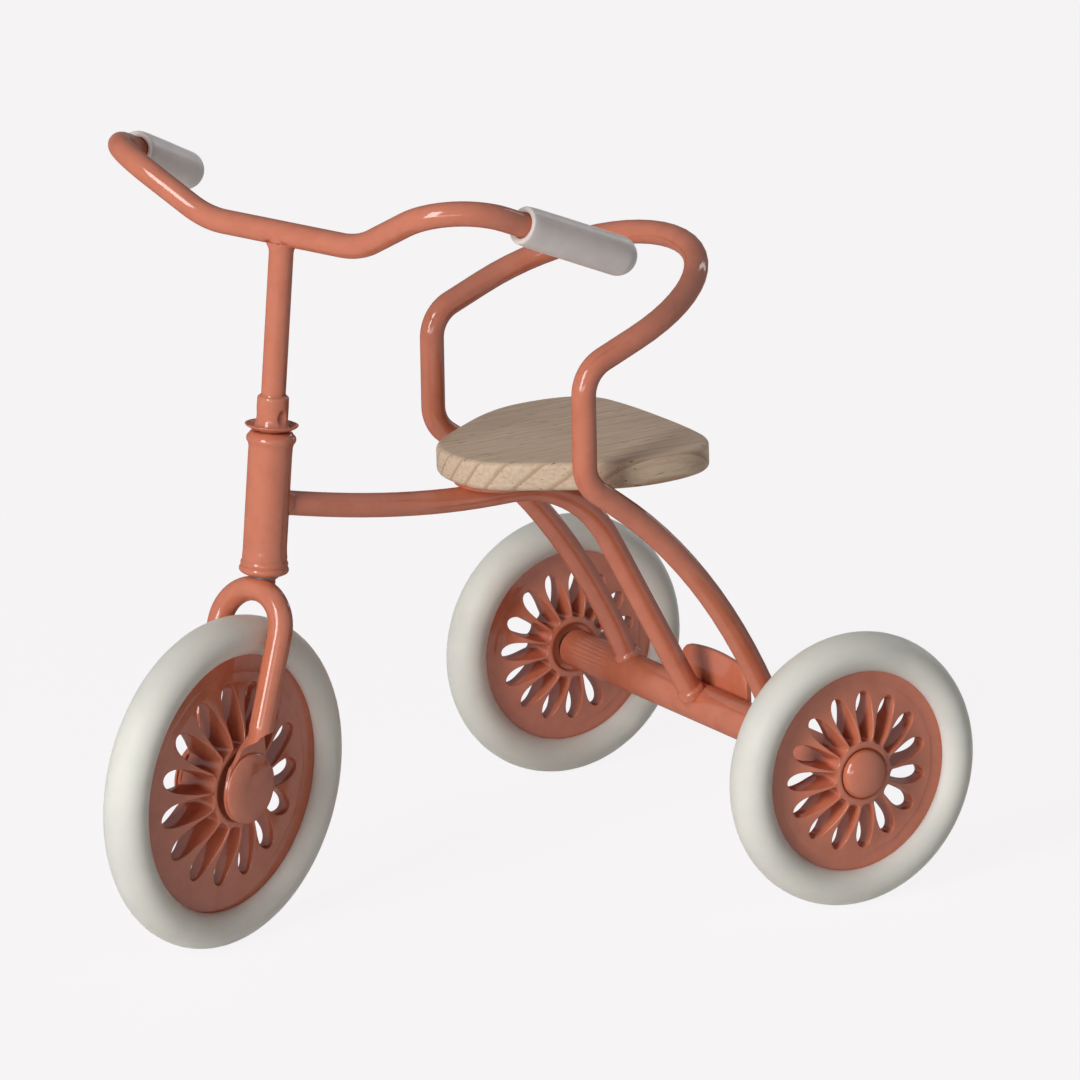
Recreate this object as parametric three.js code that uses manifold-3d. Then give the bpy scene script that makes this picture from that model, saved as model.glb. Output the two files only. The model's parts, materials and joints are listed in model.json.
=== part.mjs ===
// A doll-size children's tricycle in painted steel and beech.
// Millimetres, +Z up, the front wheel towards -Y and the rider's left towards +X.
// The ground is at z = 0, and the model stands centred on the origin.

import * as THREE from 'three';
import { mergeVertices } from 'three/addons/utils/BufferGeometryUtils.js';
import Module from 'manifold-3d';

const wasm = await Module();
wasm.setup();

// ---------------------------------------------------------------- driving sizes

const rearTyreRadius = 20;
const frontTyreRadius = 24;
const tyreThickness = 5.7;
const tyreWidth = 6.8;
const track = 79;

const rodDiameter = 3.5;
const weldGap = 0.05;
const fitGap = 0.08;

const headAngle = THREE.MathUtils.degToRad(6.2);
const restSteer = THREE.MathUtils.degToRad(21);
const steerAxisY = -76.03;
const forkOffset = 6.2;
const crownOffset = 1.2;

const headTubeDiameter = 6.4;
const headTubeBead = 7.3;
const headTubeStart = 32.7;
const headTubeLength = 20.6;
const stemBore = rodDiameter + 2 * fitGap;

const handlebarHeight = 81.5;
const handlebarStraight = 13.8;
const handlebarCorner = { x: 31.8, back: -3.3, up: 9.7 };
const handlebarEnd = { x: 39.5, back: 25.3, up: 0.5 };
const handlebarRadii = [12, 9.5];
const gripDiameter = 5.7;
const gripLength = 17.8;

const collarDiameter = 4.6;
const collarHeight = 4.4;
const flangeDiameter = 7.6;

const forkHalfGap = 5.5;
const forkStepTop = 8.4;
const forkStepBottom = 6.6;
const forkEndLean = 0.17;
const paddleDiameter = 9.2;
const paddleThickness = 0.7;
const paddleGap = 3.9;
const capDiameter = 10.2;
const capThickness = 1;
const capBoreDepth = 0.6;
const axleDiameter = 2.2;

const axleTubeDiameter = 5.8;
const hubCapDiameter = 7;
const hubCapHeight = 2.3;
const hubCapBoreDepth = 1.2;

const loopHalfWidth = 21.1;
const loopFootX = 20.5;
const loopLowerBend = { y: -31.9, z: 63.4 };
const loopUpperBend = { y: -31.6, z: 79.7 };
const loopKnee = { y: -9.5, z: 46.5 };
const loopRake = THREE.MathUtils.degToRad(22);
const loopArm = 9.4;
const loopBendRadius = 5.3;

const mainTubeStart = { y: -71.2, z: 62.9 };
const mainTubeUnderSeat = { y: -34, z: 57.8 };
const mainTubeBend = { y: -20.6, radius: 18 };

const seatWidth = 38.6;
const seatFront = -41.6;
const seatBack = -5.8;
const seatThickness = 4.2;
const seatEdgeRadius = 1.3;
const bracketThickness = 1;
const bracketWidth = 14;
const bracketLength = 22;
const screwDiameter = 1.6;

const gussetHalfWidth = 9;
const gussetHeight = 7.8;
const gussetThickness = 0.9;

const wheelRimThickness = 2.2;
const wheelBore = axleDiameter + 2 * fitGap;
const wheelOpenings = 15;
const petalEdgeThickness = 2.5;
const petalRootThickness = 6.1;
const petalWidthAtHub = 0.4;
const hubRingThickness = 6.4;
const hubRingWidth = 0.95;

const rearHubLength = 5.2;
const rearHubRingDiameter = 9.1;
const rearRimBand = 2.1;
const rearOpeningWidth = 2.7;
const rearOpeningLip = 0.9;

const frontHubLength = 5.4;
const frontHubRingDiameter = 11.6;
const frontRimBand = 2.7;
const frontOpeningWidth = 3.4;
const frontOpeningLip = 1.2;

// How far each wheel has rolled at rest.
const leftWheelTurn = THREE.MathUtils.degToRad(7);
const rightWheelTurn = THREE.MathUtils.degToRad(9.5);
const frontWheelTurn = THREE.MathUtils.degToRad(17);

// The angle that one facet of a bend turns through.
const bendStep = THREE.MathUtils.degToRad(18);

// ---------------------------------------------------------------- finishes

const coral = { color: 0xc87355, roughness: 0.35, metalness: 0.1 };
const offWhite = { color: 0xdedcd2, roughness: 0.6, metalness: 0 };
const gripGrey = { color: 0xd8d2cd, roughness: 0.55, metalness: 0 };
const beech = { color: 0xcdb496, roughness: 0.7, metalness: 0 };
const steel = { color: 0xb9bcc0, roughness: 0.35, metalness: 0.9 };

// ---------------------------------------------------------------- solid helpers

function toManifold(geometry, matrix) {
  let source = geometry.clone();
  if (matrix) source.applyMatrix4(matrix);
  source.deleteAttribute('normal');
  source.deleteAttribute('uv');
  source = mergeVertices(source, 1e-4);
  const position = source.getAttribute('position');
  const mesh = new wasm.Mesh({
    numProp: 3,
    vertProperties: Float32Array.from(position.array),
    triVerts: Uint32Array.from(source.getIndex().array),
  });
  return new wasm.Manifold(mesh);
}

function toGeometry(manifold) {
  const mesh = manifold.getMesh();
  const geometry = new THREE.BufferGeometry();
  const corners = mesh.vertProperties;
  geometry.setAttribute('position', new THREE.BufferAttribute(Float32Array.from(corners), 3));
  geometry.setIndex(new THREE.BufferAttribute(Uint32Array.from(mesh.triVerts), 1));
  geometry.computeVertexNormals();
  return geometry;
}

function part(name, geometry, finish) {
  const material = new THREE.MeshStandardMaterial(finish);
  const mesh = new THREE.Mesh(geometry, material);
  mesh.name = name;
  return mesh;
}

// A solid of revolution about X, from a closed list of [x, radius] pairs.
function turnedX(profile, segments) {
  const points = profile.map(([x, radius]) => new THREE.Vector2(radius, x));
  const geometry = new THREE.LatheGeometry(points, segments);
  geometry.rotateZ(-Math.PI / 2);
  return geometry;
}

// A solid of revolution about Z, from a closed list of [radius, z] pairs.
function turnedZ(profile, segments) {
  const points = profile.map(([radius, z]) => new THREE.Vector2(radius, z));
  const geometry = new THREE.LatheGeometry(points, segments);
  geometry.rotateX(Math.PI / 2);
  return geometry;
}

function cylinderX(diameter, length, segments = 24) {
  const geometry = new THREE.CylinderGeometry(diameter / 2, diameter / 2, length, segments);
  geometry.rotateZ(Math.PI / 2);
  return geometry;
}

function cylinderZ(diameter, length, segments = 24) {
  const geometry = new THREE.CylinderGeometry(diameter / 2, diameter / 2, length, segments);
  geometry.rotateX(Math.PI / 2);
  return geometry;
}

// A rod's middle line, made of curves that each take their own number of facets.
class RodPath extends THREE.Curve {
  constructor(pieces) {
    super();
    this.pieces = pieces;
    this.steps = pieces.reduce((sum, piece) => sum + piece.steps, 0);
  }

  getPoint(t) {
    let station = t * this.steps;
    let index = 0;
    while (index < this.pieces.length - 1 && station > this.pieces[index].steps) {
      station -= this.pieces[index].steps;
      index += 1;
    }
    const piece = this.pieces[index];
    return piece.curve.getPointAt(Math.min(1, station / piece.steps));
  }

  getPointAt(t) {
    return this.getPoint(t);
  }

  getTangentAt(t) {
    return this.getTangent(t);
  }
}

function straight(from, to) {
  return { curve: new THREE.LineCurve3(from, to), steps: 1 };
}

function curved(curve, steps) {
  return { curve, steps };
}

// The pieces of a line of straight runs whose corners are rounded.
function bentPieces(corners, radii) {
  const pieces = [];
  let from = corners[0];
  for (let i = 1; i < corners.length - 1; i += 1) {
    const before = corners[i - 1].clone().sub(corners[i]).normalize();
    const after = corners[i + 1].clone().sub(corners[i]).normalize();
    const angle = before.angleTo(after);
    const setback = radii[i - 1] / Math.tan(angle / 2);
    const start = corners[i].clone().addScaledVector(before, setback);
    const end = corners[i].clone().addScaledVector(after, setback);
    pieces.push(straight(from, start));
    const steps = Math.ceil((Math.PI - angle) / bendStep);
    pieces.push(curved(roundCorner(start, corners[i], end, radii[i - 1]), steps));
    from = end;
  }
  pieces.push(straight(from, corners[corners.length - 1]));
  return pieces;
}

// The same pieces on the other side of the centre plane, run backwards.
function mirroredPieces(pieces) {
  return [...pieces].reverse().map(({ curve, steps }) => {
    const copy = new THREE.Curve();
    copy.getPoint = (t) => curve.getPoint(1 - t).multiply(vector(-1, 1, 1));
    return { curve: copy, steps };
  });
}

// A circular bend from start to end, tangent to both runs that meet at the corner.
function roundCorner(start, corner, end, radius) {
  const middle = start.clone().add(end).multiplyScalar(0.5);
  const inward = middle.clone().sub(corner).normalize();
  const reach = Math.hypot(radius, start.distanceTo(corner));
  const centre = corner.clone().addScaledVector(inward, reach);
  return arcBetween(centre, start, end);
}

// The shorter circular arc about a centre, from one point to another.
function arcBetween(centre, start, end) {
  const first = start.clone().sub(centre);
  const last = end.clone().sub(centre);
  const sweep = first.angleTo(last);
  const across = last.clone().addScaledVector(first, -last.dot(first) / first.lengthSq());
  across.setLength(first.length());
  const arc = new THREE.Curve();
  arc.getPoint = (t) => centre.clone()
    .addScaledVector(first, Math.cos(t * sweep))
    .addScaledVector(across, Math.sin(t * sweep));
  return arc;
}

// A round rod along a line of pieces.
function rod(pieces, diameter, sides = 12) {
  const section = new THREE.Shape();
  section.absarc(0, 0, diameter / 2, 0, 2 * Math.PI, false);
  const extrudePath = new RodPath(pieces);
  return new THREE.ExtrudeGeometry(section, {
    extrudePath,
    steps: extrudePath.steps,
    curveSegments: sides / 2,
  });
}

function vector(x, y, z) {
  return new THREE.Vector3(x, y, z);
}

// ---------------------------------------------------------------- wheels

const tyreInnerRadius = (tyreRadius) => tyreRadius - tyreThickness;

// A solid ring with an oval section and a groove that seats on the metal rim.
function tyreGeometry(tyreRadius) {
  const centre = tyreRadius - tyreThickness / 2;
  const grooveHalf = wheelRimThickness / 2 + weldGap;
  const grooveFloor = rimRadius(tyreRadius) + 0.13;
  const profile = [];
  const start = Math.asin(grooveHalf / (tyreWidth / 2));
  const count = 10;
  for (let i = 0; i <= count; i += 1) {
    const angle = Math.PI + start + ((2 * Math.PI - 2 * start) * i) / count;
    const radius = centre + (tyreThickness / 2) * Math.cos(angle);
    profile.push([(tyreWidth / 2) * Math.sin(angle), radius]);
  }
  profile[0][0] = -grooveHalf;
  profile[count][0] = grooveHalf;
  profile.push([grooveHalf, grooveFloor]);
  profile.push([-grooveHalf, grooveFloor]);
  profile.push(profile[0]);
  return turnedX(profile, 36);
}

function rimRadius(tyreRadius) {
  return tyreInnerRadius(tyreRadius) + 1.2;
}

const rearWheelSizes = {
  tyreRadius: rearTyreRadius,
  hubHalf: rearHubLength / 2,
  ringRadius: rearHubRingDiameter / 2,
  rimBand: rearRimBand,
  openingHalf: rearOpeningWidth / 2,
  openingLip: rearOpeningLip,
};

const frontWheelSizes = {
  tyreRadius: frontTyreRadius,
  hubHalf: frontHubLength / 2,
  ringRadius: frontHubRingDiameter / 2,
  rimBand: frontRimBand,
  openingHalf: frontOpeningWidth / 2,
  openingLip: frontOpeningLip,
};

function petalEdgeRadius({ tyreRadius, rimBand }) {
  return tyreInnerRadius(tyreRadius) + 0.4 - rimBand;
}

// The flat-topped petals, still joined: a solid that rises from a thin edge at
// the rim to a thick root at the hub, with one facet for each petal.
function petalBody(sizes) {
  const edge = petalEdgeRadius(sizes);
  const root = petalRootThickness / 2;
  const tip = petalEdgeThickness / 2;
  const core = sizes.ringRadius - 0.4;
  const count = 3;
  const outer = [];
  for (let i = 0; i <= count; i += 1) {
    const share = i / count;
    const fall = ((1 + Math.cos(Math.PI * share)) / 2) ** 1.25;
    const radius = THREE.MathUtils.lerp(sizes.ringRadius, edge, share);
    outer.push([tip + (root - tip) * fall, radius]);
  }
  const right = outer.map(([x, radius]) => [-x, radius]);
  const left = [...outer].reverse();
  return turnedX([[-root, core], ...right, ...left, [root, core], [-root, core]], wheelOpenings);
}

// One opening between two petals, from the hub ring to its round outer end.
function openingShape(sizes) {
  const { ringRadius, openingHalf, openingLip } = sizes;
  const centre = petalEdgeRadius(sizes) - openingLip - openingHalf;
  const slope = Math.tan(Math.PI / wheelOpenings);
  const start = ringRadius - 0.6;
  const wide = (openingHalf + petalWidthAtHub / 2) / slope;
  const narrow = start * slope - petalWidthAtHub / 2;
  const shape = new THREE.Shape();
  shape.moveTo(-narrow, start);
  shape.lineTo(narrow, start);
  shape.lineTo(openingHalf, wide);
  shape.lineTo(openingHalf, centre);
  shape.absarc(0, centre, openingHalf, 0, Math.PI, false);
  shape.lineTo(-openingHalf, wide);
  shape.closePath();
  return shape;
}

// The cast metal wheel: a rim and a hub ring joined by petal spokes.
function wheelDiscGeometry(sizes, turn) {
  const { tyreRadius, hubHalf, ringRadius, openingLip } = sizes;
  const rim = rimRadius(tyreRadius);
  const rimHalf = wheelRimThickness / 2;
  const rimInside = petalEdgeRadius(sizes) - openingLip / 2;
  const ringHalf = hubRingThickness / 2;
  const recess = ringRadius - hubRingWidth;
  const rimRing = turnedX([
    [-rimHalf, rimInside],
    [-rimHalf, rim],
    [rimHalf, rim],
    [rimHalf, rimInside],
    [-rimHalf, rimInside],
  ], 2 * wheelOpenings);
  const hub = turnedX([
    [-hubHalf, wheelBore / 2],
    [-hubHalf, recess],
    [-ringHalf, recess],
    [-ringHalf, ringRadius],
    [ringHalf, ringRadius],
    [ringHalf, recess],
    [hubHalf, recess],
    [hubHalf, wheelBore / 2],
    [-hubHalf, wheelBore / 2],
  ], 2 * wheelOpenings);
  const opening = new THREE.ExtrudeGeometry(openingShape(sizes), {
    depth: 4 * ringHalf,
    bevelEnabled: false,
    curveSegments: 5,
  });
  opening.translate(0, 0, -2 * ringHalf);
  opening.applyMatrix4(new THREE.Matrix4().makeBasis(vector(0, 1, 0), vector(0, 0, 1), vector(1, 0, 0)));
  let web = toManifold(petalBody(sizes)).add(toManifold(rimRing));
  for (let i = 0; i < wheelOpenings; i += 1) {
    const place = new THREE.Matrix4().makeRotationX((2 * Math.PI * i) / wheelOpenings);
    web = web.subtract(toManifold(opening, place));
  }
  const geometry = toGeometry(web.add(toManifold(hub)));
  geometry.rotateX(-turn);
  return geometry;
}

// ---------------------------------------------------------------- rear axle and wheels

const frame = new THREE.Group();
const rearAxleZ = rearTyreRadius;
const rearHubHalf = rearHubLength / 2;
const washerThickness = 0.6;
const tubeHalf = track / 2 - rearHubHalf - washerThickness - 2 * fitGap;

function rearWheel(side, sideName, turn) {
  const wheel = new THREE.Group();
  wheel.position.set(side * track / 2, 0, rearAxleZ);
  const disc = wheelDiscGeometry(rearWheelSizes, turn);
  wheel.add(part(`${sideName}_wheel_disc`, disc, coral));
  wheel.add(part(`${sideName}_tyre`, tyreGeometry(rearTyreRadius), offWhite));
  return wheel;
}

// A domed push-on cap over the end of the rear axle.
function hubCap(side, sideName) {
  const seat = track / 2 + rearHubHalf + fitGap;
  const depth = hubCapBoreDepth;
  const bore = axleDiameter / 2 + weldGap;
  const profile = [[0, bore], [0, hubCapDiameter / 2]];
  const count = 3;
  for (let i = 0; i <= count; i += 1) {
    const angle = (Math.PI / 2) * (i / count);
    const height = 0.3 + (hubCapHeight - 0.3) * Math.sin(angle);
    profile.push([height, i === count ? 0 : (hubCapDiameter / 2) * Math.cos(angle)]);
  }
  profile.push([depth, 0], [depth, bore], [0, bore]);
  const geometry = turnedX(profile, 16);
  if (side < 0) geometry.rotateZ(Math.PI);
  geometry.translate(side * seat, 0, rearAxleZ);
  return part(`${sideName}_hub_cap`, geometry, coral);
}

function rearWasher(side, sideName) {
  const inner = wheelBore / 2;
  const near = tubeHalf + fitGap;
  const far = near + washerThickness;
  const outer = axleTubeDiameter / 2 + 0.2;
  const geometry = turnedX([[near, inner], [near, outer], [far, outer], [far, inner], [near, inner]], 16);
  if (side < 0) geometry.rotateZ(Math.PI);
  geometry.translate(0, 0, rearAxleZ);
  return part(`${sideName}_axle_washer`, geometry, steel);
}

const rearAxleLength = track + 2 * (rearHubHalf + fitGap + hubCapBoreDepth - weldGap);
const rearAxle = cylinderX(axleDiameter, rearAxleLength, 16);
rearAxle.translate(0, 0, rearAxleZ);

const tubeBore = axleDiameter / 2 + weldGap;
const tubeOuter = axleTubeDiameter / 2;
const axleTube = turnedX([
  [-tubeHalf, tubeBore],
  [-tubeHalf, tubeOuter - 0.2],
  [-tubeHalf + 0.2, tubeOuter],
  [tubeHalf - 0.2, tubeOuter],
  [tubeHalf, tubeOuter - 0.2],
  [tubeHalf, tubeBore],
  [-tubeHalf, tubeBore],
], 20);
axleTube.translate(0, 0, rearAxleZ);

// Whatever is welded to the axle tube is coped to this cylinder.
const axleTubeCope = toManifold(
  cylinderX(axleTubeDiameter + 2 * weldGap, 2 * tubeHalf, 20),
  new THREE.Matrix4().makeTranslation(0, 0, rearAxleZ),
);

// A low arched plate on the axle tube, behind the centre stay.
function gussetPlate() {
  const y = rodDiameter / 2 + weldGap;
  const shape = new THREE.Shape();
  shape.moveTo(-gussetHalfWidth, 0);
  shape.lineTo(gussetHalfWidth, 0);
  shape.lineTo(gussetHalfWidth, gussetHeight - 2.2);
  shape.quadraticCurveTo(gussetHalfWidth, gussetHeight - 1, gussetHalfWidth - 1.6, gussetHeight - 0.7);
  shape.quadraticCurveTo(0, gussetHeight + 0.7, -gussetHalfWidth + 1.6, gussetHeight - 0.7);
  shape.quadraticCurveTo(-gussetHalfWidth, gussetHeight - 1, -gussetHalfWidth, gussetHeight - 2.2);
  shape.closePath();
  const geometry = new THREE.ExtrudeGeometry(shape, {
    depth: gussetThickness,
    bevelEnabled: false,
    curveSegments: 5,
  });
  geometry.rotateX(Math.PI / 2);
  geometry.translate(0, y + gussetThickness, rearAxleZ);
  return toGeometry(toManifold(geometry).subtract(axleTubeCope));
}

// ---------------------------------------------------------------- rods of the frame

const headAxis = vector(0, Math.sin(headAngle), Math.cos(headAngle));
const headFoot = vector(0, steerAxisY, rearAxleZ);

// Places a piece that is built about +Z onto the steering axis.
function onSteeringAxis() {
  const matrix = new THREE.Matrix4().makeRotationX(-headAngle);
  matrix.setPosition(headFoot);
  return matrix;
}

function headTubeGeometry() {
  const body = headTubeDiameter / 2;
  const bead = headTubeBead / 2;
  const end = headTubeLength;
  const geometry = turnedZ([
    [stemBore / 2, 0],
    [body, 0],
    [bead - 0.1, 0.6],
    [bead - 0.1, 1.6],
    [body, 2.6],
    [body, end - 2.3],
    [bead - 0.1, end - 1.7],
    [bead - 0.1, end - 0.9],
    [body, end - 0.2],
    [body - 0.3, end],
    [stemBore / 2, end],
    [stemBore / 2, 0],
  ], 20);
  geometry.translate(0, 0, headTubeStart);
  geometry.applyMatrix4(onSteeringAxis());
  return geometry;
}

const headTubeCope = toManifold(
  cylinderZ(headTubeDiameter + 2 * weldGap, 2 * headTubeLength, 24),
  onSteeringAxis().multiply(new THREE.Matrix4().makeTranslation(0, 0, headTubeStart + headTubeLength / 2)),
);

// One rod from the head tube, under the seat and down to the axle tube.
function mainTubeGeometry() {
  const start = vector(0, mainTubeStart.y, mainTubeStart.z);
  const underSeat = vector(0, mainTubeUnderSeat.y, mainTubeUnderSeat.z);
  const foot = vector(0, -1, rearAxleZ);
  const front = new THREE.CubicBezierCurve3(
    start,
    start.clone().add(vector(0, 12, -2.9)),
    underSeat.clone().add(vector(0, -13, 0)),
    underSeat,
  );
  const bend = vector(0, mainTubeBend.y, underSeat.z);
  const rear = bentPieces([underSeat, bend, foot], [mainTubeBend.radius]);
  const solid = toManifold(rod([curved(front, 7), ...rear], rodDiameter));
  return toGeometry(solid.subtract(headTubeCope).subtract(axleTubeCope).subtract(bracketCope()));
}

// One rod: left leg, left upright, raked hoop, right upright and right leg.
function backrestLoopGeometry() {
  const rake = vector(0, Math.cos(loopRake), Math.sin(loopRake));
  const foot = vector(loopFootX, 0.4, rearAxleZ + 0.5);
  const lower = vector(loopHalfWidth, loopLowerBend.y, loopLowerBend.z);
  const upper = vector(loopHalfWidth, loopUpperBend.y, loopUpperBend.z);
  const armEnd = upper.clone().addScaledVector(rake, loopArm);
  const knee = vector(loopHalfWidth, loopKnee.y, loopKnee.z);
  const legTop = lower.clone().add(knee.clone().sub(lower).setLength(6));
  const leg = curved(new THREE.QuadraticBezierCurve3(foot, knee, legTop), 6);
  const side = [leg, ...bentPieces([legTop, lower, upper, armEnd], [loopBendRadius, loopBendRadius])];
  const hoopCentre = vector(0, armEnd.y, armEnd.z);
  const across = vector(loopHalfWidth, 0, 0);
  const hoop = new THREE.Curve();
  hoop.getPoint = (t) => hoopCentre.clone()
    .addScaledVector(across, Math.cos(Math.PI * t))
    .addScaledVector(rake, loopHalfWidth * Math.sin(Math.PI * t));
  const solid = toManifold(rod([...side, curved(hoop, 13), ...mirroredPieces(side)], rodDiameter));
  return toGeometry(solid.subtract(axleTubeCope));
}

// ---------------------------------------------------------------- seat

const seatUnderside = mainTubeUnderSeat.z + rodDiameter / 2 + bracketThickness + weldGap;
const bracketCentreY = -29;
const screwX = bracketWidth / 2 - 2.5;

// The bracket plate is let into the top of the main tube by this block.
function bracketCope() {
  const block = new THREE.BoxGeometry(bracketWidth, bracketLength + 0.4, 4);
  block.translate(0, bracketCentreY, seatUnderside - bracketThickness - 2 * weldGap + 2);
  return toManifold(block);
}

function bracketShape() {
  const halfWidth = bracketWidth / 2;
  const straight = bracketLength / 2 - halfWidth;
  const shape = new THREE.Shape();
  shape.absarc(0, straight, halfWidth, 0, Math.PI, false);
  shape.absarc(0, -straight, halfWidth, Math.PI, 2 * Math.PI, false);
  shape.closePath();
  return shape;
}

function bracketGeometry() {
  const geometry = new THREE.ExtrudeGeometry(bracketShape(), {
    depth: bracketThickness,
    bevelEnabled: false,
    curveSegments: 5,
  });
  geometry.translate(0, bracketCentreY, seatUnderside - weldGap - bracketThickness);
  let solid = toManifold(geometry);
  [1, -1].forEach((side) => {
    solid = solid.subtract(screwHole(side, 4));
  });
  return toGeometry(solid);
}

// A hole for one of the two screws, half its length above the seat's underside.
function screwHole(side, length) {
  const matrix = new THREE.Matrix4().makeTranslation(side * screwX, bracketCentreY, seatUnderside);
  return toManifold(cylinderZ(screwDiameter + 2 * weldGap, length, 12), matrix);
}

// The board's outline: a narrow round nose, straight cheeks and a broad soft back.
function seatShape(inset) {
  const half = seatWidth / 2 - inset;
  const front = seatFront + inset;
  const back = seatBack - inset;
  const shape = new THREE.Shape();
  shape.moveTo(0, front);
  shape.bezierCurveTo(half * 0.3, front, half * 0.42, front + 2.2, half * 0.58, front + 6.5);
  shape.bezierCurveTo(half * 0.86, front + 13.5, half, front + 17.5, half, front + 23);
  shape.bezierCurveTo(half, back - 5.2, half * 0.86, back - 1.8, half * 0.6, back - 0.9);
  shape.bezierCurveTo(half * 0.35, back, half * 0.2, back, 0, back);
  shape.bezierCurveTo(-half * 0.2, back, -half * 0.35, back, -half * 0.6, back - 0.9);
  shape.bezierCurveTo(-half * 0.86, back - 1.8, -half, back - 5.2, -half, front + 23);
  shape.bezierCurveTo(-half, front + 17.5, -half * 0.86, front + 13.5, -half * 0.58, front + 6.5);
  shape.bezierCurveTo(-half * 0.42, front + 2.2, -half * 0.3, front, 0, front);
  return shape;
}

function seatGeometry() {
  const geometry = new THREE.ExtrudeGeometry(seatShape(seatEdgeRadius), {
    depth: seatThickness - 2 * seatEdgeRadius,
    bevelEnabled: true,
    bevelThickness: seatEdgeRadius,
    bevelSize: seatEdgeRadius,
    bevelSegments: 2,
    curveSegments: 5,
  });
  geometry.translate(0, 0, seatUnderside + seatEdgeRadius);
  let solid = toManifold(geometry);
  [1, -1].forEach((side) => {
    solid = solid.subtract(screwHole(side, 5.2));
  });
  return toGeometry(solid);
}

// A pan-head screw that comes up through the bracket into the board.
function seatScrew(side) {
  const headTop = seatUnderside - bracketThickness - 2 * weldGap;
  const shank = screwDiameter / 2;
  const head = screwDiameter;
  const geometry = turnedZ([
    [0, headTop - 0.9],
    [head * 0.6, headTop - 0.85],
    [head, headTop - 0.45],
    [head, headTop],
    [shank, headTop],
    [shank, seatUnderside + 2],
    [0, seatUnderside + 2.4],
  ], 12);
  geometry.translate(side * screwX, bracketCentreY, 0);
  return geometry;
}

// ---------------------------------------------------------------- steering

// Steered pieces are built about +Z at the foot of the steering axis, then turned.
const steering = new THREE.Group();
steering.position.copy(headFoot);
steering.rotation.set(-headAngle, 0, 0);
const steered = new THREE.Group();
steered.rotation.set(0, 0, restSteer);
steering.add(steered);

const crownTop = headTubeStart - 0.5;
const crownCentre = crownTop - rodDiameter / 2;
const wheelDrop = (frontTyreRadius - rearAxleZ
  - forkOffset * Math.cos(restSteer) * Math.sin(headAngle)) / Math.cos(headAngle);
const frontAxle = vector(0, -forkOffset, wheelDrop);
const paddleCentre = paddleGap + paddleThickness / 2;
const flattenStart = frontAxle.z + forkStepTop;
const flattenEnd = frontAxle.z + forkStepBottom;

// The handlebar's middle line, from its left end to its right end.
function handlebarPath() {
  const level = handlebarHeight;
  const corners = [
    vector(handlebarEnd.x, handlebarEnd.back, level + handlebarEnd.up),
    vector(handlebarCorner.x, handlebarCorner.back, level + handlebarCorner.up),
    vector(handlebarStraight, 0, level),
  ];
  const others = corners.map((corner) => vector(-corner.x, corner.y, corner.z)).reverse();
  const radii = [handlebarRadii[1], handlebarRadii[0]];
  return bentPieces([...corners, ...others], [...radii, ...[...radii].reverse()]);
}

const stemTop = handlebarHeight - rodDiameter / 2 - weldGap;

function stemGeometry() {
  const bottom = crownCentre;
  const body = toManifold(
    cylinderZ(rodDiameter, handlebarHeight - bottom, 20),
    new THREE.Matrix4().makeTranslation(0, 0, (handlebarHeight + bottom) / 2),
  );
  const handlebarCope = toManifold(
    cylinderX(rodDiameter + 2 * weldGap, 12, 20),
    new THREE.Matrix4().makeTranslation(0, 0, handlebarHeight),
  );
  const crownCope = toManifold(rod(forkPath(), rodDiameter + 2 * weldGap, 16));
  const pieces = body.subtract(handlebarCope).subtract(crownCope).decompose();
  pieces.sort((a, b) => b.volume() - a.volume());
  return toGeometry(pieces[0]);
}

function collarGeometry() {
  const foot = headTubeStart + headTubeLength + 0.25;
  const inner = rodDiameter / 2 + weldGap;
  const sleeve = collarDiameter / 2;
  const flange = flangeDiameter / 2;
  return turnedZ([
    [inner, foot],
    [sleeve + 0.6, foot],
    [flange - 0.5, foot + 0.35],
    [flange, foot + 0.9],
    [flange - 0.4, foot + 1.1],
    [sleeve + 0.3, foot + 0.75],
    [sleeve, foot + 1.3],
    [sleeve, foot + collarHeight - 0.3],
    [sleeve - 0.3, foot + collarHeight],
    [inner, foot + collarHeight],
    [inner, foot],
  ], 16);
}

// How far back the middle line of the fork's straight end stands at a height.
function forkLineY(z) {
  return frontAxle.y + forkEndLean * (z - frontAxle.z) + 0.3;
}

// The fork's middle line: paddle, arm, semicircular crown, arm, paddle.
function forkPath() {
  const crown = vector(0, -crownOffset, crownCentre - forkHalfGap);
  const shoulder = vector(forkHalfGap, -crownOffset, crown.z);
  const bend = vector(forkHalfGap, -crownOffset - 2.6, frontAxle.z + 14.5);
  const neck = vector(forkHalfGap, forkLineY(flattenStart), flattenStart);
  const sole = vector(forkHalfGap, forkLineY(flattenEnd), flattenEnd);
  const ankle = vector(forkHalfGap, forkLineY(frontAxle.z + 2.5), frontAxle.z + 2.5);
  const joggle = new THREE.CubicBezierCurve3(
    neck,
    neck.clone().add(vector(0, 0.4, 2)),
    bend.clone().add(vector(0, -0.4, -2)),
    bend,
  );
  const upper = new THREE.CubicBezierCurve3(
    bend,
    bend.clone().add(vector(0, 0.5, 2.5)),
    shoulder.clone().add(vector(0, 0, -3)),
    shoulder,
  );
  const arch = new THREE.Curve();
  arch.getPoint = (t) => crown.clone()
    .add(vector(forkHalfGap * Math.cos(Math.PI * t), 0, forkHalfGap * Math.sin(Math.PI * t)));
  const step = curved(new THREE.LineCurve3(sole, neck), 3);
  const arm = [straight(ankle, sole), step, curved(joggle, 3), curved(upper, 2)];
  return [...arm, curved(arch, 10), ...mirroredPieces(arm)];
}

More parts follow.
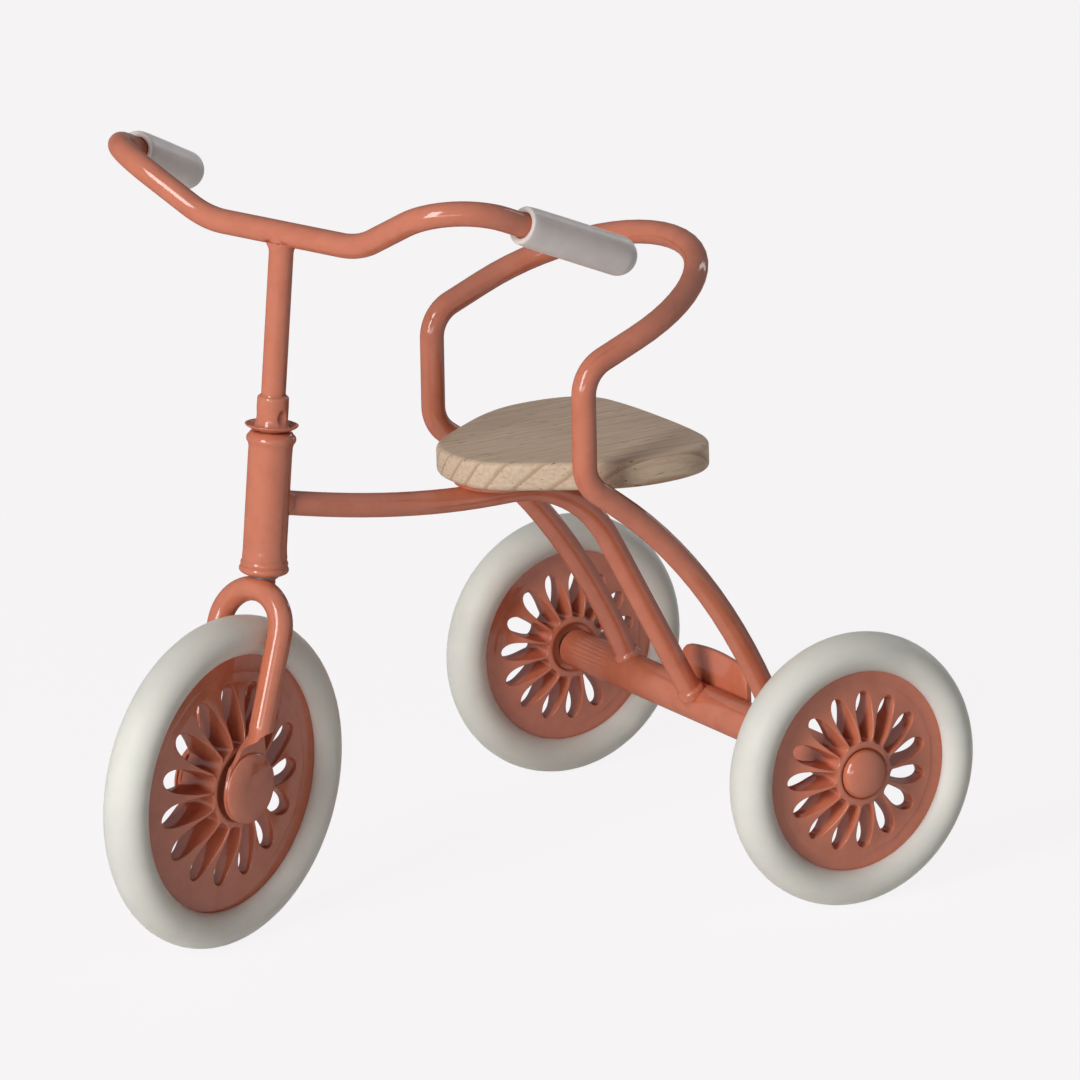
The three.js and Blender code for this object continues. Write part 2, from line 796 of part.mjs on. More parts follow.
// Presses the rod's round ends from outside, down to the thickness of the paddles.
function flattenEnds(geometry) {
  const position = geometry.getAttribute('position');
  for (let i = 0; i < position.count; i += 1) {
    const height = position.getZ(i);
    const depth = (flattenStart - height) / (flattenStart - flattenEnd);
    const squeeze = THREE.MathUtils.smoothstep(depth, 0, 1);
    if (squeeze > 0) {
      const across = Math.abs(position.getX(i));
      const pressed = paddleCentre + ((across - forkHalfGap) * paddleThickness) / rodDiameter;
      const middle = forkLineY(height);
      const spread = THREE.MathUtils.lerp(1, 1.35, squeeze);
      position.setX(i, Math.sign(position.getX(i)) * THREE.MathUtils.lerp(across, pressed, squeeze));
      position.setY(i, middle + (position.getY(i) - middle) * spread);
    }
  }
}

// The rod's end hammered flat: a round paddle with a tapering neck.
function paddleGeometry() {
  const radius = paddleDiameter / 2;
  const neck = 0.62 * rodDiameter;
  const reach = flattenEnd - frontAxle.z + 0.4;
  const shoulder = Math.asin(0.7);
  const shape = new THREE.Shape();
  shape.moveTo(neck, reach);
  shape.lineTo(radius * Math.cos(shoulder), radius * Math.sin(shoulder));
  shape.absarc(0, 0, radius, shoulder, Math.PI - shoulder, true);
  shape.lineTo(-neck, reach);
  shape.closePath();
  const geometry = new THREE.ExtrudeGeometry(shape, {
    depth: paddleThickness,
    bevelEnabled: false,
    curveSegments: 16,
  });
  geometry.rotateY(Math.PI / 2);
  geometry.rotateX(Math.PI / 2);
  return geometry;
}

function forkGeometry() {
  const base = rod(forkPath(), rodDiameter);
  flattenEnds(base);
  let solid = toManifold(base);
  const lean = Math.atan(forkEndLean);
  [1, -1].forEach((side) => {
    const matrix = new THREE.Matrix4().makeRotationX(-lean);
    const inner = side > 0 ? paddleGap : -paddleGap - paddleThickness;
    matrix.setPosition(inner, frontAxle.y, frontAxle.z);
    solid = solid.add(toManifold(paddleGeometry(), matrix));
  });
  const hole = toManifold(
    cylinderX(axleDiameter + 2 * weldGap, 20, 16),
    new THREE.Matrix4().makeTranslation(0, frontAxle.y, frontAxle.z),
  );
  return toGeometry(solid.subtract(hole));
}

function forkWasherGeometry() {
  const inner = stemBore / 2;
  const outer = headTubeDiameter / 2 - 0.2;
  const low = headTubeStart - 0.4;
  const high = headTubeStart - 0.1;
  return turnedZ([[inner, low], [outer, low], [outer, high], [inner, high], [inner, low]], 16);
}

// A closed plastic sleeve with a round end and a soft open lip.
function gripGeometry() {
  const outer = gripDiameter / 2;
  const inner = rodDiameter / 2 + weldGap;
  const points = [];
  points.push([inner, 0], [outer - 0.35, 0], [outer - 0.05, 0.35], [outer, 1]);
  points.push([outer, gripLength]);
  const count = 4;
  for (let i = 1; i <= count; i += 1) {
    const angle = (Math.PI / 2) * (i / count);
    const radius = i === count ? 0 : outer * Math.cos(angle);
    points.push([radius, gripLength + outer * Math.sin(angle)]);
  }
  points.push([0, gripLength + 0.3], [inner, gripLength + 0.3], [inner, 0]);
  return turnedZ(points, 16);
}

// Seats a grip so that the bar's end meets the bottom of its bore.
function grip(side, sideName) {
  const level = handlebarHeight;
  const end = vector(side * handlebarEnd.x, handlebarEnd.back, level + handlebarEnd.up);
  const corner = vector(side * handlebarCorner.x, handlebarCorner.back, level + handlebarCorner.up);
  const direction = end.clone().sub(corner).normalize();
  const geometry = gripGeometry();
  const turn = new THREE.Quaternion().setFromUnitVectors(vector(0, 0, 1), direction);
  geometry.applyQuaternion(turn);
  const start = end.clone().addScaledVector(direction, -gripLength);
  geometry.translate(start.x, start.y, start.z);
  return part(`${sideName}_grip`, geometry, gripGrey);
}

const capSeat = paddleGap + paddleThickness + weldGap;

function axleCap(side, sideName) {
  const bore = axleDiameter / 2 + weldGap;
  const radius = capDiameter / 2;
  const depth = capBoreDepth;
  const geometry = turnedX([
    [0, bore],
    [0, radius],
    [capThickness * 0.5, radius],
    [capThickness, radius - 0.6],
    [capThickness, 0],
    [depth, 0],
    [depth, bore],
    [0, bore],
  ], 20);
  if (side < 0) geometry.rotateZ(Math.PI);
  geometry.translate(side * capSeat, frontAxle.y, frontAxle.z);
  return part(`${sideName}_axle_cap`, geometry, coral);
}

const frontHubHalf = frontHubLength / 2;

function frontSpacer(side, sideName) {
  const inner = wheelBore / 2;
  const near = frontHubHalf + fitGap;
  const far = paddleGap - weldGap;
  const outer = 2.6;
  const geometry = turnedX([[near, inner], [near, outer], [far, outer], [far, inner], [near, inner]], 16);
  if (side < 0) geometry.rotateZ(Math.PI);
  geometry.translate(0, frontAxle.y, frontAxle.z);
  return part(`${sideName}_hub_spacer`, geometry, steel);
}

const frontWheel = new THREE.Group();
frontWheel.position.copy(frontAxle);
const frontDisc = wheelDiscGeometry(frontWheelSizes, frontWheelTurn);
frontWheel.add(part('front_wheel_disc', frontDisc, coral));
frontWheel.add(part('front_tyre', tyreGeometry(frontTyreRadius), offWhite));

const frontAxleLength = 2 * (capSeat + capBoreDepth - weldGap);
const frontAxlePin = cylinderX(axleDiameter, frontAxleLength, 16);
frontAxlePin.translate(0, frontAxle.y, frontAxle.z);

steered.add(part('handlebar', rod(handlebarPath(), rodDiameter), coral));
steered.add(part('handlebar_stem', stemGeometry(), coral));
steered.add(part('stem_collar', collarGeometry(), coral));
steered.add(part('fork', forkGeometry(), coral));
steered.add(part('fork_washer', forkWasherGeometry(), steel));
steered.add(part('front_axle', frontAxlePin, steel));
steered.add(frontWheel);

// ---------------------------------------------------------------- assembly

frame.add(part('head_tube', headTubeGeometry(), coral));
frame.add(part('main_tube', mainTubeGeometry(), coral));
frame.add(part('backrest_loop', backrestLoopGeometry(), coral));
frame.add(part('rear_axle_tube', axleTube, coral));
frame.add(part('rear_axle', rearAxle, steel));
frame.add(part('stay_gusset', gussetPlate(), coral));
frame.add(part('seat_bracket', bracketGeometry(), coral));
frame.add(part('seat', seatGeometry(), beech));

[[1, 'left', leftWheelTurn], [-1, 'right', rightWheelTurn]].forEach(([side, sideName, turn]) => {
  frame.add(part(`${sideName}_seat_screw`, seatScrew(side), steel));
  frame.add(rearWasher(side, sideName));
  frame.add(hubCap(side, sideName));
  frame.add(rearWheel(side, sideName, turn));
  steered.add(grip(side, sideName));
  steered.add(axleCap(side, sideName));
  steered.add(frontSpacer(side, sideName));
});

const tricycle = new THREE.Group();
tricycle.add(frame);
tricycle.add(steering);

// The origin goes under the middle of the whole model, on the ground.
tricycle.updateMatrixWorld(true);
const box = new THREE.Box3().setFromObject(tricycle, true);
tricycle.position.set(-(box.min.x + box.max.x) / 2, -(box.min.y + box.max.y) / 2, -box.min.z);
tricycle.updateMatrixWorld(true);

export default tricycle;
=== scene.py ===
"""Looks for a doll's-size children's tricycle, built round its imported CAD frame.

Everything is in metres in the frame's axes: +X is the rider's left, -Y is forward
and +Z is up. Places come from the CAD nodes and joints, and shapes from the
property groups below.
"""

import json
import math

import bmesh
import bpy
from bpy.props import FloatProperty, FloatVectorProperty, IntProperty, PointerProperty
from mathutils import Matrix, Vector


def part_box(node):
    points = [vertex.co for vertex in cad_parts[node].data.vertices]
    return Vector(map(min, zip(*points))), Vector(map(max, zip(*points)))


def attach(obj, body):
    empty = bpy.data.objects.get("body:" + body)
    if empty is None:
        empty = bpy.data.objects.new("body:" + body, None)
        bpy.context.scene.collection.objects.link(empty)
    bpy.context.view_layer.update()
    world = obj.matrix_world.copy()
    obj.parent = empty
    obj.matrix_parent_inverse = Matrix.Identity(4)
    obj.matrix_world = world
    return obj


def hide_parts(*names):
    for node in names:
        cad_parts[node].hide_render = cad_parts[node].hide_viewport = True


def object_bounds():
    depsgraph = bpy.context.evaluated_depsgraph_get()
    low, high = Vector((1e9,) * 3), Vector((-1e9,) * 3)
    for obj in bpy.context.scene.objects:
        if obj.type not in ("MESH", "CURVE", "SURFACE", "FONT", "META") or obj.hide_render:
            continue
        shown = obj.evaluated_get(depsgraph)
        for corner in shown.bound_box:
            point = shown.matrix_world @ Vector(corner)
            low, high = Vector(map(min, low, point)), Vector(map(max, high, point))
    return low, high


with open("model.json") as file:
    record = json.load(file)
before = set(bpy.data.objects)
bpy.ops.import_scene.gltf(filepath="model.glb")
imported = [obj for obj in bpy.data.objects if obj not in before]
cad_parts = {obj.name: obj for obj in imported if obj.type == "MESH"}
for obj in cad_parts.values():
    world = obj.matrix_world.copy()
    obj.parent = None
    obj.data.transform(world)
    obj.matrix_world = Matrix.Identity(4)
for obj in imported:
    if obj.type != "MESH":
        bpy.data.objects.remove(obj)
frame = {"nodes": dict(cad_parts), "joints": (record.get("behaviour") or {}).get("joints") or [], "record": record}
CAD_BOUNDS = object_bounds()

bl_info = {
    "name": "Doll's Tricycle",
    "version": (1, 0, 0),
    "blender": (4, 5, 0),
    "location": "3D View > Sidebar > Tricycle",
    "description": "Builds the rods, cast wheels, beech seat and grips of a small tricycle",
    "category": "Object",
}

MM = 0.001
X_AXIS = Vector((1, 0, 0))
Z_AXIS = Vector((0, 0, 1))
SIDES = (("left", 1), ("right", -1))
MIRROR = Vector((-1, 1, 1))
# Turns a piece that was spun about X to stand along Z.
UPRIGHT = Matrix.Rotation(-math.pi / 2, 4, "Y")
HALF_TURN = Matrix.Rotation(math.pi, 4, "Z")
# The length of a curve's handle by the radius of the quarter circle that it draws.
QUARTER = 0.5523
# Points nearer than these are one: in rods and the gusset, and in all other pieces.
FINE_GAP = 1e-6
WIDE_GAP = 2e-6

# In CHASSIS: the backrest's uprights, feet and straight run below the lower bends, and the
# main tube's start, its run there and the places of its bend and foot.
LOOP_UPPER_Y = -31.6 * MM
LOOP_LOWER_Y = -31.9 * MM
LOOP_UPRIGHT = 16.3 * MM
LOOP_FOOT_BACK, LOOP_FOOT_UP = 0.4 * MM, 0.5 * MM
LEG_RUN = 6 * MM
TUBE_START = Vector((0, -71.2, 62.9)) * MM
TUBE_RUN = Vector((0, 12, -2.9)) * MM
TUBE_UNDER_Y, TUBE_BEND_Y, TUBE_FOOT_Y = -34 * MM, -20.6 * MM, -1 * MM
UNDER_RUN = Vector((0, -13, 0)) * MM
# In STEERED: the handlebar's left end, how far the horns stand forward, and the crimps.
BAR_END = Vector((39.5, 25.3, 82.0)) * MM
BAR_CORNER_Y = -3.3 * MM
CRIMP_TURNS = (190, 310, 70)
CRIMP_REACH, CRIMP_DEPTH = 0.85 * MM, 0.4 * MM
# The fork: its arms' backward lean, how far back they stand where the paddles start, the
# crown, and the heights of the arm's knots between the paddle's foot and the bend.
FORK_LEAN = 0.225
PADDLE_OFFSET = 0.75 * MM
CROWN_BACK, CROWN_RISE = 5.0 * MM, 0.25 * MM
ARM_MARKS = (-2 * MM, 2 * MM, 5.5 * MM)
ARM_TOP = 10 * MM
STEP_EDGE = 0.9 * MM
DIP_FOOT = 3 * MM
# How much the head tube's beads stand out, and the bore of what the rear axle runs through.
BEAD = 0.42 * MM
AXLE_BORE = 1.2 * MM
# The wheels: how the rows bow outwards beside a petal's middle, the half width under which a
# petal's columns crowd together, how deep an opening's first ring of wall goes, and how far
# the rim and its face reach into the tyre.
PETAL_BOW = -0.6
NARROW_PETAL = 0.35 * MM
FIRST_WALL = 0.12 * MM
RIM_DEPTH, FACE_DEPTH = 1.2 * MM, 0.4 * MM


# ---- places from the frame


def joint(name):
    """The place and the axis of a joint of the frame."""
    found = next(j for j in frame["joints"] if j["name"] == name)
    return Vector(found["pos_m"]), Vector(found["axis"]).normalized()


def axes_at(origin, x_axis, z_axis):
    """A matrix whose X and Z lie along the given axes, at an origin."""
    z = z_axis.normalized()
    x = (x_axis - z * x_axis.dot(z)).normalized()
    y = z.cross(x)
    return Matrix.Translation(origin) @ Matrix((x, y, z)).transposed().to_4x4()


def facing(origin, direction):
    """A matrix whose X lies along a direction, at an origin."""
    turn = direction.to_track_quat("X", "Z")
    return Matrix.Translation(origin) @ turn.to_matrix().to_4x4()


def node_box(node, space=Matrix.Identity(4)):
    """The lowest and highest corners of a CAD node in a space of its own."""
    back = space.inverted()
    points = [back @ vertex.co for vertex in frame["nodes"][node].data.vertices]
    low = Vector(min(p[i] for p in points) for i in range(3))
    high = Vector(max(p[i] for p in points) for i in range(3))
    return low, high


def middle(box):
    return (box[0] + box[1]) / 2


STEER_FOOT, STEER_AXIS = joint("steering_turn")
FRONT_AXLE, FRONT_AXLE_AXIS = joint("front_wheel_turn")
# X runs along the front axle, Y backwards and Z up the steering axis.
STEERED = axes_at(STEER_FOOT, FRONT_AXLE_AXIS, STEER_AXIS)
# The same axis for the head tube, which doesn't turn with the handlebar.
HEAD = axes_at(STEER_FOOT, X_AXIS, STEER_AXIS)
REAR_AXLE = middle(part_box("rear_axle_tube"))
# X across from the centre plane, Y back from the rear axle and Z up from the ground.
CHASSIS = Matrix.Translation((REAR_AXLE.x, REAR_AXLE.y, 0))


# ---- sizes


def length(label, text, value):
    return FloatProperty(name=label, description=text, default=value * MM, unit="LENGTH")


def angle(label, text, value):
    turn = math.radians(value)
    return FloatProperty(name=label, description=text, default=turn, subtype="ANGLE")


def colour(label, text, value):
    return FloatVectorProperty(
        name=label, description=text, default=value, subtype="COLOR", min=0, max=1
    )


class TricycleFinishes(bpy.types.PropertyGroup):
    """Colours of the finishes."""

    paint: colour("Paint", "Coral gloss paint on all metal", (0.6, 0.183, 0.102))
    paint_shade: colour("Paint shade", "The paint where it pooled", (0.555, 0.158, 0.084))
    tyre: colour("Tyre", "Soft off-white tyres", (0.79, 0.78, 0.71))
    grip: colour("Grip", "Warm grey grips", (0.71, 0.64, 0.61))
    beech: colour("Beech", "Pale wood between the growth rings", (0.66, 0.5, 0.36))
    beech_ring: colour("Beech ring", "Darker late wood of each ring", (0.42, 0.27, 0.16))
    # Blackened steel of pins and washers; on the washers its darkness is also painted shade, standing in for the
    # dark gaps beside them.
    steel: colour("Steel", "Blackened steel of pins and washers", (0.13, 0.125, 0.12))


class TricycleRods(bpy.types.PropertyGroup):
    """Sizes of the bent rods."""

    diameter: length("Rod diameter", "Diameter of every bent rod", 3.5)
    rings: IntProperty(name="Facets round", description="Facets round a rod", default=28)
    loop_bend: length("Loop bend", "Radius of the four bends of the backrest", 5.3)
    loop_arm: length("Loop arm", "Straight run from the upper bend to the hoop", 9.4)
    loop_rake: angle("Loop rake", "Slope of the hoop above level", 22)
    loop_foot: length("Loop foot", "Distance of each foot from the centre plane", 20.5)
    knee_back: length("Knee", "Control point of the leg, forward of the axle", 9.5)
    knee_up: length("Knee height", "Control point of the leg, above the ground", 46.5)
    tube_bend: length("Main tube bend", "Radius of the bend behind the seat", 18)
    bar_middle: length("Bar middle", "Half of the handlebar's straight middle", 13.8)
    bar_corner_x: length("Bar corner", "Where the handlebar's horns turn back", 31.8)
    bar_corner_up: length("Bar rise", "How far the horns rise above the middle", 9.7)
    bar_inner_bend: length("Inner bend", "Radius of the handlebar's inner bends", 12)
    bar_outer_bend: length("Outer bend", "Radius of the handlebar's outer bends", 9.5)
    grip: length("Grip", "Diameter of the grips", 5.7)
    grip_length: length("Grip length", "From a grip's lip to its round end", 17.8)
    sleeve: length("Sleeve", "Diameter of the crimped sleeve", 4.5)
    weld: length("Weld throat", "Size of the weld fillets under the paint", 0.26)
    paddle: length("Paddle", "Radius of the fork's hammered ends", 4.95)
    paddle_thickness: length("Paddle thickness", "Thickness of the hammered ends", 0.7)
    step_top: length("Step", "Where the hammering starts, above the axle", 8.4)
    step_run: length("Step run", "Height over which the rod is pressed flat", 1.5)
    step_dip: length("Step dip", "How far the step dips at the rod's front", 1.5)


class TricycleWheels(bpy.types.PropertyGroup):
    """Sizes of the wheels."""

    petals: IntProperty(name="Petals", description="Petal spokes in each wheel", default=15)
    tyre: length("Tyre thickness", "From the tread to the inside of the tyre", 5.7)
    bore: length("Bore", "Radius of the hub's bore", 1.19)
    rear_rim: length("Rear rim", "Half the thickness of a rear wheel's flat rim", 1.1)
    rear_tip: length("Rear petal tip", "Half the thickness of a rear petal at the rim", 1.2)
    front_rim: length("Front rim", "Half the thickness of the front wheel's flat rim", 0.95)
    front_tip: length("Front petal tip", "Half the thickness of a front petal at the rim", 1.0)
    root: length("Petal root", "Half the thickness of a petal at the hub", 3.05)
    vane: length("Vane", "Thickness of a petal where it is narrowest", 0.4)
    taper: FloatProperty(
        name="Taper", description="Length of an opening's end by its half width", default=1.9
    )
    blend: length("Blend", "Softness where an opening's sides turn parallel", 0.12)
    corner: length("Corner", "Rounding of an opening's corners at the hub", 0.4)
    rounding: length("Rounding", "Rounding of the openings' borders", 0.17)
    draft: angle("Draft", "Slope of the openings' walls", 9)
    ring_height: length("Hub ring", "Half the thickness of the raised hub ring", 3.2)
    ring_width: length("Hub ring width", "Width of the raised hub ring", 0.95)
    rear_hub: length("Rear hub", "Half the length of a rear hub", 2.6)
    rear_ring: length("Rear hub ring", "Outer radius of a rear hub's ring", 4.55)
    rear_band: length("Rear rim band", "Width of a rear wheel's flat rim", 2.1)
    rear_lip: length("Rear lip", "From a rear opening to the petal's edge", 0.9)
    rear_opening: length("Rear opening", "Half the width of a rear opening", 1.35)
    front_hub: length("Front hub", "Half the length of the front hub", 2.7)
    front_ring: length("Front hub ring", "Outer radius of the front hub's ring", 5.8)
    front_band: length("Front rim band", "Width of the front wheel's flat rim", 2.7)
    front_lip: length("Front lip", "From a front opening to the petal's edge", 1.2)
    front_opening: length("Front opening", "Half the width of a front opening", 1.7)
    front_turn: angle("Front turn", "How far the front wheel has rolled", 17)
    left_turn: angle("Left turn", "How far the left wheel has rolled", 7)
    right_turn: angle("Right turn", "How far the right wheel has rolled", 9.5)


class TricycleSeat(bpy.types.PropertyGroup):
    """Sizes of the seat."""

    edge: length("Edge radius", "Rounding of the board's edges", 0.85)
    ring_gap: length("Ring gap", "Distance between growth rings", 2.55)
    ring_tilt: angle("Ring tilt", "Slope of the growth rings across the board", -35)


class TricycleStage(bpy.types.PropertyGroup):
    """The floor, the lamps and the camera."""

    azimuth: angle("Azimuth", "Camera's turn round the tricycle", 59.33)
    elevation: angle("Elevation", "Camera's height above the horizon", 15.68)
    roll: angle("Roll", "Camera's turn about its own axis", -1.85)
    distance: length("Distance", "Camera's distance from the rear axle", 1090.92)
    aim_right: length("Aim right", "Camera's shift to its right", -23.26)
    aim_up: length("Aim up", "Camera's shift upwards", 24.80)
    lens: FloatProperty(name="Lens", description="Focal length, mm", default=247.49)
    backdrop: colour("Backdrop", "Plain pale studio", (0.984, 0.966, 0.975))
    floor: colour("Floor", "Matt floor that takes the shadow", (0.88, 0.87, 0.87))


# ---- node trees


def new_material(name):
    """An empty material with its output and its main shader."""
    material = bpy.data.materials.new(name)
    material.use_nodes = True
    tree = material.node_tree
    tree.nodes.clear()
    output = tree.nodes.new("ShaderNodeOutputMaterial")
    shader = tree.nodes.new("ShaderNodeBsdfPrincipled")
    tree.links.new(shader.outputs[0], output.inputs["Surface"])
    return material, tree, shader


def put(tree, socket, value):
    """Links a socket to an output, or sets it to a value."""
    if isinstance(value, bpy.types.NodeSocket):
        tree.links.new(value, socket)
    else:
        socket.default_value = value


def wire(tree, made, **inputs):
    """Sets or links the inputs of a node by their names."""
    for key, value in inputs.items():
        put(tree, made.inputs[key.replace("_", " ")], value)
    return made


def node(tree, kind, settings=None, **inputs):
    """Adds a node, sets its settings and sets or links its inputs."""
    made = tree.nodes.new("ShaderNode" + kind)
    for key, value in (settings or {}).items():
        setattr(made, key, value)
    return wire(tree, made, **inputs)


def maths(tree, operation, *values):
    """The result of a maths node."""
    made = node(tree, "Math", {"operation": operation})
    for socket, value in zip(made.inputs, values):
        put(tree, socket, value)
    return made.outputs[0]


def in_place(tree, origin=(0, 0, 0), turn=(0, 0, 0), scale=(1, 1, 1)):
    """Object coordinates in millimetres from an origin, turned and scaled."""
    whole = node(tree, "TexCoord").outputs["Object"]
    shift = [-value / MM for value in origin]
    moved = node(tree, "Mapping", Vector=whole, Location=shift, Scale=(1 / MM,) * 3)
    return node(tree, "Mapping", Vector=moved.outputs[0], Rotation=turn, Scale=scale).outputs[0]


def noise(tree, where, scale, detail=2.0, roughness=0.5):
    inputs = {"Vector": where, "Scale": scale, "Detail": detail, "Roughness": roughness}
    return node(tree, "TexNoise", **inputs).outputs["Fac"]


def spread(tree, value, low, high, to_low=0.0, to_high=1.0):
    """Stretches a value from one range to another, and clamps it."""
    made = node(
        tree, "MapRange", {"interpolation_type": "SMOOTHSTEP"}, Value=value, From_Min=low,
        From_Max=high, To_Min=to_low, To_Max=to_high,
    )
    return made.outputs[0]


def blend_colours(tree, share, first, second):
    made = node(tree, "Mix", {"data_type": "RGBA"}, Factor=share)
    for socket, value in ((made.inputs[6], first), (made.inputs[7], second)):
        put(tree, socket, value if isinstance(value, bpy.types.NodeSocket) else (*value, 1))
    return made.outputs[2]


def speckled(tree, where, look, low, high, most, first, second):
    """A second colour over a first, up to a share, where a noise of a given look is high."""
    share = spread(tree, noise(tree, where, *look), low, high, 0.0, most)
    return blend_colours(tree, share, first, second)


def bump(tree, height, distance, strength=0.5, **base):
    """A normal that follows a height, whose distance is in millimetres."""
    inputs = {"Height": height, "Strength": strength, "Distance": distance * MM, **base}
    return node(tree, "Bump", **inputs).outputs[0]


def gloss_paint(finish):
    """Coral gloss over hand-worked metal: faint pooling, hammer marks and orange peel."""
    material, tree, shader = new_material("coral_gloss_paint")
    where = in_place(tree)
    pooled = (where, (0.3, 3.0, 0.55), 0.36, 0.7, 0.8)
    base = speckled(tree, *pooled, finish.paint, finish.paint_shade)
    dust = [channel * 0.85 + 0.1 for channel in finish.paint]
    hammered = bump(tree, noise(tree, where, 0.4), 0.16)
    painted_outline_shade = node(tree, "LayerWeight", Blend=0.5).outputs["Facing"]
    wire(
        tree, shader,
        Base_Color=speckled(tree, where, (2.6, 2.0, 0.6), 0.7, 0.8, 0.22, base, dust),
        Roughness=spread(tree, noise(tree, where, 0.9, 4.0, 0.6), 0.3, 0.75, 0.3, 0.42),
        Normal=bump(tree, noise(tree, where, 2.2, 3.0), 0.012, Normal=hammered),
        # The coat's gloss is dimmed towards the outline, a painted shade on the reflections there that stands in
        # for darker surroundings.
        Coat_Weight=spread(tree, painted_outline_shade, 0.15, 0.75, 1.0, 0.2),
        Coat_Roughness=0.12, Specular_IOR_Level=0.0,
    )
    return material


def soft_tyre(finish):
    """Matt off-white rubber, a little cloudy, with fine handling marks."""
    material, tree, shader = new_material("off_white_tyre")
    where = in_place(tree)
    dull = [channel * shift for channel, shift in zip(finish.tyre, (0.93, 0.93, 0.94))]
    base = speckled(tree, where, (0.09, 3.0, 0.55), 0.35, 0.7, 1.0, finish.tyre, dull)
    marks = (where, (2.4, 2.0, 0.7), 0.7, 0.8, 0.3)
    wire(
        tree, shader, Base_Color=speckled(tree, *marks, base, (0.5, 0.48, 0.42)),
        Roughness=spread(tree, noise(tree, where, 0.6, 5.0, 0.65), 0.3, 0.7, 0.48, 0.62),
        Normal=bump(tree, noise(tree, where, 6.0, 3.0, 0.6), 0.02, 0.35),
        Specular_IOR_Level=0.4, Subsurface_Weight=0.4, Subsurface_Radius=(1.0, 0.85, 0.6),
        Subsurface_Scale=2.5 * MM,
    )
    return material


def satin_grip(finish):
    """Dipped soft plastic: satin, and a little cloudy."""
    material, tree, shader = new_material("warm_grey_grip")
    where = in_place(tree)
    dull = [channel * 0.92 for channel in finish.grip]
    wire(
        tree, shader,
        Base_Color=speckled(tree, where, (0.3, 3.0), 0.35, 0.7, 1.0, finish.grip, dull),
        Roughness=spread(tree, noise(tree, where, 1.1, 4.0, 0.6), 0.3, 0.7, 0.36, 0.5),
        Normal=bump(tree, noise(tree, where, 3.5, 3.0, 0.55), 0.02, 0.4),
    )
    return material


def beech(finish):
    """Waxed beech: tilted growth rings, grain from front to back and short dark vessels."""
    material, tree, shader = new_material("waxed_beech")
    seat = bpy.context.scene.tricycle_seat
    centre = middle(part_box("seat"))

    def log(shrink):
        """The log's own axes: X across the rings and Y, shrunk, along the grain."""
        return in_place(tree, centre, (0, seat.ring_tilt, 0), (1, shrink, 1))

    along = log(0.08)
    across = node(tree, "SeparateXYZ", Vector=along).outputs["X"]
    swayed = maths(tree, "MULTIPLY_ADD", noise(tree, along, 0.09), 2.2, across)
    year = maths(tree, "FRACT", maths(tree, "MULTIPLY", swayed, MM / seat.ring_gap))
    late = spread(tree, year, 0.76, 0.96, 0.0, 0.8)
    ring = maths(tree, "MAXIMUM", late, spread(tree, year, 0.0, 0.05, 0.85, 0.0))
    # The sanded top shows its rings more faintly than the sawn edges.
    height = node(tree, "SeparateXYZ", Vector=in_place(tree, centre)).outputs["Z"]
    half = (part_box("seat")[1].z - centre.z) / MM
    sanded = spread(tree, height, half - 0.5, half - 0.05, 1.0, 0.35)
    shown = maths(tree, "MULTIPLY", ring, sanded)
    base = blend_colours(tree, shown, finish.beech, finish.beech_ring)
    fibre = noise(tree, log(0.05), 2.2, 4.0, 0.65)
    fibre_share = spread(tree, fibre, 0.35, 0.72, 0.0, 0.4)
    base = blend_colours(tree, fibre_share, base, (0.36, 0.25, 0.16))
    vessels = spread(tree, noise(tree, log(0.1), 2.6, 1.0, 0.4), 0.69, 0.76, 0.0, 0.75)
    wire(
        tree, shader, Base_Color=blend_colours(tree, vessels, base, (0.17, 0.095, 0.05)),
        Roughness=spread(tree, fibre, 0.3, 0.7, 0.55, 0.75),
        Normal=bump(tree, vessels, -0.08, Normal=bump(tree, fibre, 0.06)),
    )
    return material


def black_steel(finish):
    """Blackened steel with fine drawing marks."""
    material, tree, shader = new_material("blackened_steel")
    marks = noise(tree, in_place(tree), 4.0, 4.0, 0.6)
    dark = [channel * 0.7 for channel in finish.steel]
    wire(
        tree, shader, Metallic=1.0, Normal=bump(tree, marks, 0.02),
        Base_Color=blend_colours(tree, spread(tree, marks, 0.35, 0.7), finish.steel, dark),
        Roughness=spread(tree, marks, 0.3, 0.7, 0.28, 0.45),
    )
    return material


FINISHES = {}
MAKERS = {
    "paint": gloss_paint, "tyre": soft_tyre, "grip": satin_grip, "beech": beech,
    "steel": black_steel,
}


def finish_of(slot):
    """The Blender material of one of the record's slots, made when it is first asked for."""
    if slot not in FINISHES:
        FINISHES[slot] = MAKERS[slot](bpy.context.scene.tricycle_finishes)
    return FINISHES[slot]


# ---- modelling helpers


def fresh(add, **settings):
    """The object that an operator adds, with nothing else selected."""
    deselect_all()
    add(**settings)
    return bpy.context.object


def deselect_all():
    if bpy.context.mode != "OBJECT":
        bpy.ops.object.mode_set(mode="OBJECT")
    bpy.ops.object.select_all(action="DESELECT")


def only(piece):
    """Makes one piece the selected and active one."""
    deselect_all()
    piece.select_set(True)
    bpy.context.view_layer.objects.active = piece


def modified(piece, kind, **settings):
    """Adds a modifier, sets it and applies it."""
    only(piece)
    bpy.ops.object.modifier_add(type=kind)
    modifier = piece.modifiers[-1]
    for key, value in settings.items():
        setattr(modifier, key, value)
    bpy.ops.object.modifier_apply(modifier=modifier.name)
    return piece


def softened(piece, width, limit=32):
    """Rounds every edge sharper than a limit in degrees."""
    return modified(
        piece, "BEVEL", width=width, segments=3, limit_method="ANGLE",
        angle_limit=math.radians(limit), profile=0.5, use_clamp_overlap=True,
    )


def cleaned(piece, gap=FINE_GAP):
    """Merges what lies together and turns every face outwards."""
    only(piece)
    bpy.ops.object.mode_set(mode="EDIT")
    bpy.ops.mesh.select_all(action="SELECT")
    bpy.ops.mesh.remove_doubles(threshold=gap)
    bpy.ops.mesh.normals_make_consistent(inside=False)
    bpy.ops.object.mode_set(mode="OBJECT")
    return piece


